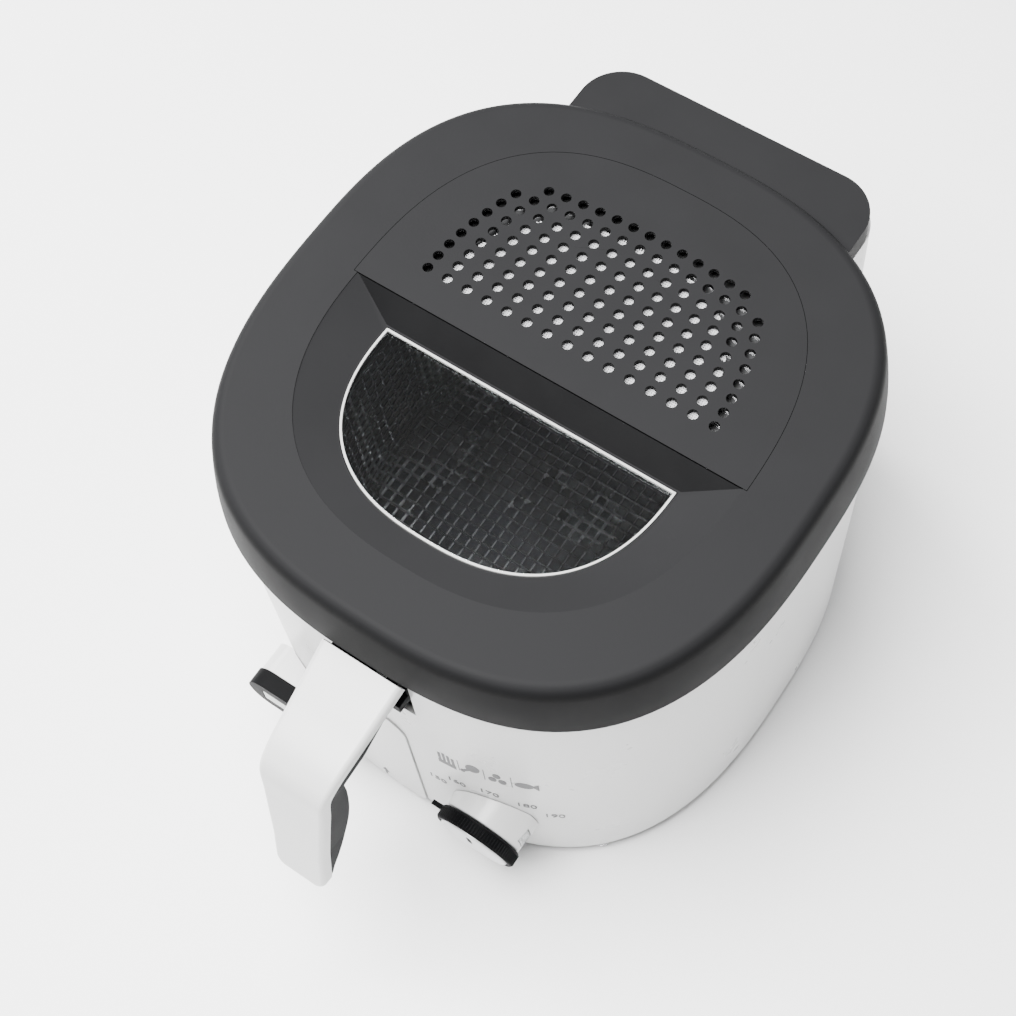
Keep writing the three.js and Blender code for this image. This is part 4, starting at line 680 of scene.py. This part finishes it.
seal = minus(loft([bowl_oval(4, FLANGE_Z + GAP), bowl_oval(5.8, FLANGE_Z + 1),
                   bowl_oval(7, FLANGE_Z + 2.4), bowl_oval(7, LINER_Z - GAP)]),
             loft([bowl_oval(1.5, FLANGE_Z - 1), bowl_oval(1.5, LINER_Z + 1)]))
place("lid_seal", seal, "lid", "grey_silicone", ["lid_gasket"], bevel=0.4)

# ---- perforated filter cover and filters ----------------------------------------------------
HOLE_RADIUS, ROWS, EACH_SIDE = 2.45, 9, 7
HOLE_PITCH, ROW_PITCH = 10.61, 8.3


def hole_spots():
    for row in range(ROWS):
        share = row / (ROWS - 1)
        last = EACH_SIDE - 1 if row == ROWS - 1 else EACH_SIDE
        for i in range(-last, last + 1):
            across_ = i * HOLE_PITCH * (1 - 0.19 * share ** 2)
            yield across_, STEP_Y + 18.3 + ROW_PITCH * row - 5.3 * share * (i / EACH_SIDE) ** 2


cover = filter_slab(-0.15, LEDGE_Z + GAP, LID_TOP)
holes = [rod((x, y, LEDGE_Z - 2), (x, y, LID_TOP + 2), HOLE_RADIUS, 20) for x, y in hole_spots()]
points, faces = [], []
for hole in holes:
    faces += [tuple(i + len(points) for i in face_.vertices) for face_ in hole.data.polygons]
    points += [tuple(p.co) for p in hole.data.vertices]
    bpy.data.objects.remove(hole)
minus(cover, shape(points, faces))
place("vent_cover", cover, "filter_cover", "lid_plastic", ["filter_cover"], bevel=0.18, angle=40)

MESH_Z = LEDGE_Z - 1.4


def weave(pitch, radius, z):
    """Fine woven wire cut to the filter's D outline."""
    half, straight, tip = DISH_HALF - 33, STEP_Y + 13, FILTER_REAR - 34
    paths = []
    x = -half + pitch
    while x < half:
        reach = straight + (tip - straight) * (1 - abs(x / half) ** 2.6) ** (1 / 2.6)
        paths.append(([(x, straight, z), (x, reach, z)], False))
        x += pitch
    y = straight + pitch
    while y < tip - 1:
        reach = half * (1 - ((y - straight) / (tip - straight)) ** 2.6) ** (1 / 2.6)
        paths.append(([(-reach, y, z + radius), (reach, y, z + radius)], False))
        y += pitch
    return wires(paths, radius, 5)


place("filter_weave", weave(1.15, 0.4, MESH_Z), "lid", "silver_plastic", bevel=0)

# ---- handle ---------------------------------------------------------------------------------
SPINE = [(PIVOT_Y - 0.5, HANDLE_TOP), (PIVOT_Y - 26, HANDLE_TOP - 8.6),
         (PIVOT_Y - 47.5, HANDLE_TOP - 16.4), (PIVOT_Y - 54.8, HANDLE_TOP - 23),
         (PIVOT_Y - 58.8, HANDLE_TOP - 43), (PIVOT_Y - 70.5, HANDLE_TOP - 109.4)]


def spine_points(per_span=40):
    """Centripetal curve through SPINE, as (y, z) points."""
    ends = [tuple(2 * a - b for a, b in zip(SPINE[0], SPINE[1])), *SPINE,
            tuple(2 * a - b for a, b in zip(SPINE[-1], SPINE[-2]))]
    knots = [Vector((0, *p)) for p in ends]
    out = []
    for p0, p1, p2, p3 in zip(knots, knots[1:], knots[2:], knots[3:]):
        t0 = 0
        t1 = t0 + (p1 - p0).length ** 0.5
        t2 = t1 + (p2 - p1).length ** 0.5
        t3 = t2 + (p3 - p2).length ** 0.5
        for i in range(per_span):
            t = t1 + (t2 - t1) * i / per_span
            a1 = p0 * ((t1 - t) / (t1 - t0)) + p1 * ((t - t0) / (t1 - t0))
            a2 = p1 * ((t2 - t) / (t2 - t1)) + p2 * ((t - t1) / (t2 - t1))
            a3 = p2 * ((t3 - t) / (t3 - t2)) + p3 * ((t - t2) / (t3 - t2))
            b1 = a1 * ((t2 - t) / (t2 - t0)) + a2 * ((t - t0) / (t2 - t0))
            b2 = a2 * ((t3 - t) / (t3 - t1)) + a3 * ((t - t1) / (t3 - t1))
            out.append(b1 * ((t2 - t) / (t2 - t1)) + b2 * ((t - t1) / (t2 - t1)))
    return out + [knots[-2]]


LINE = spine_points()
LENGTHS = [0.0]
for a, b in zip(LINE, LINE[1:]):
    LENGTHS.append(LENGTHS[-1] + (b - a).length)


def spine_at(share):
    target = share * LENGTHS[-1]
    after = next((k for k, s in enumerate(LENGTHS) if s > target), len(LINE) - 1)
    i = max(0, min(len(LINE) - 2, after - 1))
    step = (target - LENGTHS[i]) / (LENGTHS[i + 1] - LENGTHS[i])
    low, high = max(0, i - 3), min(len(LINE) - 1, i + 4)
    along = (LINE[high] - LINE[low]).normalized()
    return LINE[i].lerp(LINE[i + 1], step), Vector((0, -along.z, along.y))


def handle_half(share):
    straight = HANDLE_HALF + (HANDLE_TIP_HALF - HANDLE_HALF) * min(1.0, share * 1.25)
    end = max(0.0, (share - 0.955) / 0.045)
    return straight - 4 * (1 - (1 - min(1.0, end) ** 2) ** 0.5)


def sweep(start, end, section, steps=90):
    rings = []
    for i in range(steps + 1):
        share = start + (end - start) * i / steps
        centre, under = spine_at(share)
        rings.append([centre + under * depth + Vector((x, 0, 0)) for x, depth in section(share)])
    return loft(rings)


def arc(cx, cy, r, start, end, steps=5):
    return [(cx + r * math.cos(math.radians(start + (end - start) * i / steps)),
             cy + r * math.sin(math.radians(start + (end - start) * i / steps))) for i in range(steps + 1)]


def shell_section(share):
    half, lip, wall, r = handle_half(share), HANDLE_LIP, HANDLE_WALL, 2.4
    outer = arc(-half + r, r, r, 180, 270) + arc(half - r, r, r, 270, 360)
    inner = [(half - wall, lip), (half - wall, wall), (wall - half, wall), (wall - half, lip)]
    return [(-half + 0.4, lip), (-half, lip - 0.5)] + outer + [(half, lip - 0.5), (half - 0.4, lip)] + inner


def grip_depth(share):
    neck = max(0.0, min(1.0, (share - 0.1) / 0.12))
    along = max(0.0, (share - 0.36) / 0.605)
    return 10.6 + 4.9 * neck + 7 * math.sin(math.pi * along ** 1.2) - 7.5 * along ** 5


def grip_section(share):
    half, inner, far = handle_half(share) - 0.8, handle_half(share) - HANDLE_WALL - GAP, grip_depth(share)
    near, lip = HANDLE_WALL + GAP, HANDLE_LIP + GAP
    r = min(2.6, (far - lip) * 0.6)
    tongue_ = [(-inner, lip - 0.01), (-inner, near), (inner, near), (inner, lip - 0.01)]
    return ([(-half, lip)] + tongue_ + [(half, lip)]
            + arc(half - r, far - r, r, 0, 90) + arc(-half + r, far - r, r, 90, 180))


def across(y, z, x0, x1, radius):
    return rod((x0, y, z), (x1, y, z), radius)


EAR_HALF, EAR_SPACE = 18.3, 6.25
shell = minus(sweep(0, 0.998, shell_section, 180), across(PIVOT_Y, PIVOT_Z, -EAR_HALF, EAR_HALF, EAR_SPACE))
place("handle_body", shell, "handle", "white_plastic", ["handle_shell"], bevel=0.5, angle=50)
grip = sweep(0.02, 0.965, grip_section, 150)
ears = minus(across(PIVOT_Y, PIVOT_Z, -30, 30, 5.8),
             box(-12.5, 12.5, PIVOT_Y - 20, PIVOT_Y + 20, 0, HANDLE_TOP))
minus(grip, ears)
plus(grip, across(PIVOT_Y, PIVOT_Z, -12.5, 12.5, 5))
PIN_Y, PIN_Z = PIVOT_Y - 42.5, PIVOT_Z - 13.8
NOTCH = (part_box("lift_strap")[1][0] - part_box("lift_strap")[0][0]) / 2 / MM + 1
minus(grip, box(-NOTCH, NOTCH, PIN_Y - 9, PIVOT_Y + 10, 150, HANDLE_TOP),
      across(PIVOT_Y, PIVOT_Z, -30, 30, 2.4), across(PIN_Y, PIN_Z, -12.5, 12.5, 1.9))
place("handle_insert", grip, "handle", "black_plastic", ["handle_grip"], bevel=0.5)

# ---- wire basket ----------------------------------------------------------------------------
BASKET_TOP, BASKET_LOW, BASKET_GAP = 150.0, 70.0, 9.0


def basket_ring(z, inset=0.0, steps=120):
    shrink = BOWL_DRAFT * (FLANGE_Z - z) / (FLANGE_Z - FLOOR_Z) + BASKET_GAP + inset
    return oval(BOWL_HALF - shrink, BOWL_FRONT - shrink, BOWL_REAR - shrink, z, steps)


WIRE = 0.8
levels = [BASKET_LOW + WIRE, BASKET_LOW + 2.2, BASKET_LOW + 5]
levels += [BASKET_LOW + 8 + 6.5 * i for i in range(11)]
insets = [6, 3.6, 1.8] + [1.0] * 11
paths = [(basket_ring(z, inset), True) for z, inset in zip(levels, insets)]
columns = [basket_ring(z, inset - WIRE * 1.6) for z, inset in zip(levels + [BASKET_TOP], insets + [1.0])]
paths += [([ring[i] for ring in columns], False) for i in range(120)]
low = basket_ring(BASKET_LOW + WIRE, 5)
half_x, front_y, rear_y = max(p[0] for p in low), -min(p[1] for p in low), max(p[1] for p in low)
for i in range(-15, 16):
    x = i * half_x / 16
    reach = (1 - abs(x / half_x) ** OUTLINE_POWER) ** (1 / OUTLINE_POWER)
    floor_z = BASKET_LOW + WIRE
    paths.append(([(x, -front_y * reach, floor_z), (x, rear_y * reach, floor_z)], False))
    y = i * (front_y if i < 0 else rear_y) / 16
    reach = half_x * (1 - abs(y / (front_y if i < 0 else rear_y)) ** OUTLINE_POWER) ** (1 / OUTLINE_POWER)
    paths.append(([(-reach, y, BASKET_LOW + 2.4 * WIRE), (reach, y, BASKET_LOW + 2.4 * WIRE)], False))
place("basket_wires", wires(paths, WIRE, 6), "basket", "basket_wire", ["basket"], bevel=0)
RIM_WIRE = 1.55
rim = (basket_ring(BASKET_TOP + GAP + 1.5, 0.6), True)
place("basket_top_wire", wires([rim], RIM_WIRE, 14), "basket", "basket_wire", ["basket_rim"], bevel=0)

# ---- printed marks --------------------------------------------------------------------------
def on_wall(x, z, outline_list, name, thick=0.12, body="housing", look=PRINT):
    """Flat marks, drawn as (x, z) outlines about their own middle, laid on the casing's front wall."""
    here = Vector((x, face_y(x, z), z))
    along = Vector((1, (face_y(x + 1, z) - face_y(x - 1, z)) / 2, 0)).normalized()
    rise = Vector((0, (face_y(x, z + 2) - face_y(x, z - 2)) / 4, 1)).normalized()
    out = along.cross(rise)
    parts = []
    for outline in outline_list:
        parts.append(loft([[here + along * u + rise * w + out * d for u, w in outline]
                           for d in (thick - 0.17, thick)]))
    whole = plus(parts[0], *parts[1:]) if len(parts) > 1 else parts[0]
    return place(name, whole, body, look, bevel=0)


def digits(name, words, height, x, z):
    """Raised figures on the front wall, from the built-in font."""
    curve = bpy.data.curves.new(name, "FONT")
    curve.body = words
    curve.size = height
    curve.extrude = 0.08
    curve.align_x = curve.align_y = "CENTER"
    draft = bpy.data.objects.new(name, curve)
    bpy.context.collection.objects.link(draft)
    bpy.context.view_layer.update()
    mesh = bpy.data.meshes.new_from_object(draft.evaluated_get(bpy.context.evaluated_depsgraph_get()))
    bpy.data.objects.remove(draft)
    made = bpy.data.objects.new(name, mesh)
    bpy.context.collection.objects.link(made)
    along = Vector((1, (face_y(x + 1, z) - face_y(x - 1, z)) / 2, 0)).normalized()
    rise = Vector((0, (face_y(x, z + 2) - face_y(x, z - 2)) / 4, 1)).normalized()
    out = along.cross(rise)
    here = Vector((x, face_y(x, z), z)) + out * 0.05
    made.data.transform(Matrix.Translation(here) @ Matrix((along, rise, out)).transposed().to_4x4())
    return place(name, made, "housing", PRINT, bevel=0)


DIAL_WIDE, DIAL_TALL, FIGURE_HEIGHT = 32, 29.5, 7.0
for number, angle in ((150, 152), (160, 122), (170, 90), (180, 58), (190, 28)):
    turn_ = math.radians(angle)
    digits(f"dial_{number}", str(number), FIGURE_HEIGHT, KNOB_X + DIAL_WIDE * math.cos(turn_),
           KNOB_Z + DIAL_TALL * math.sin(turn_))


def disc(u, w, across_, tall, lean=0.0, steps=24):
    """An ellipse outline about (u, w), turned by lean."""
    c, s = math.cos(lean), math.sin(lean)
    ring = [(across_ * math.cos(a), tall * math.sin(a))
            for a in (2 * math.pi * i / steps for i in range(steps))]
    return [(u + c * x - s * z, w + s * x + c * z) for x, z in ring]


def bar(u, w, wide, tall):
    return [(u - wide / 2, w - tall / 2), (u + wide / 2, w - tall / 2), (u + wide / 2, w + tall / 2),
            (u - wide / 2, w + tall / 2)]


chips = [bar(u, w, 1.1, 5.6) for u, w in ((-2.7, 0.4), (-0.9, 1.2), (0.9, 0.8), (2.7, 0.2))]
chips.append(bar(0, -2.6, 7, 2))
leg = [disc(0.8, 1.2, 3, 2.3, 0.6), [(-1.6, -0.6), (-0.8, -1.4), (-3.0, -3.4), (-3.8, -2.6)],
       disc(-3.5, -3.1, 0.9, 0.9)]
bites = [disc(u, w, 1.5, 1.5) for u, w in ((-2, -1.4), (1.6, -1.6), (-0.2, 1.6))]
fish = [disc(-0.6, 0, 3.4, 1.8), [(2.2, 0), (4.6, -1.9), (4.6, 1.9)]]
food_marks = ((30, 103.6, chips), (42.5, 106.3, leg), (55.2, 107.0, bites), (67.6, 105.9, fish))
for index, (x, z, glyph) in enumerate(food_marks):
    on_wall(x, z, [[(u * 1.3, w * 2) for u, w in outline] for outline in glyph], f"food_mark_{index + 1}")
for index, (x, z) in enumerate(((36.2, 104.9), (48.9, 106.8), (61.4, 107.0))):
    on_wall(x, z, [bar(0, 0, 0.35, 14)], f"food_divider_{index + 1}")
on_wall(-16, 16, [[(-2, 0.2), (2, 0.2), (0, 4.6)], bar(0, -2, 1.3, 5)], "door_arrow", 0.95, "drain_door")

# ---- the CAD pieces that stay: softened copies with their own finish --------------------------
slots = {part["node"]: part["material_slot"] for part in frame["record"]["subparts"]}
body_of = {node: body for body, nodes in frame["record"]["behaviour"]["bodies"].items() for node in nodes}
done = {"outer_casing", "release_button", "drain_door", "thermostat_collar", "knob_ring", "knob_face",
        "timer_collar", "timer_body", "lid_shell", "window_gasket", "window_glass", "lid_liner",
        "lid_gasket", "filter_cover", "handle_shell", "handle_grip", "basket", "basket_rim"}
special = {"pilot_lens": LENS, "timer_display": DISPLAY}
for node, cad in frame["nodes"].items():
    if node in done:
        continue
    copy = bpy.data.objects.new(f"{node}_finished", cad.data.copy())
    copy.matrix_world = cad.matrix_world.copy()
    bpy.context.collection.objects.link(copy)
    copy.data.transform(copy.matrix_world)
    copy.matrix_world = Matrix.Identity(4)
    look = special.get(node, slots[node])
    place(f"{node}_finished", copy, body_of[node], look, [node], bevel=0.25, moved=False)

# ---- floor ----------------------------------------------------------------------------------
ground = bpy.data.objects.new("floor", bpy.data.meshes.new("floor"))
ground.data.from_pydata([(-4, -4, 0), (4, -4, 0), (4, 4, 0), (-4, 4, 0)], [], [(0, 1, 2, 3)])
ground.data.materials.append(FLOOR)
bpy.context.collection.objects.link(ground)
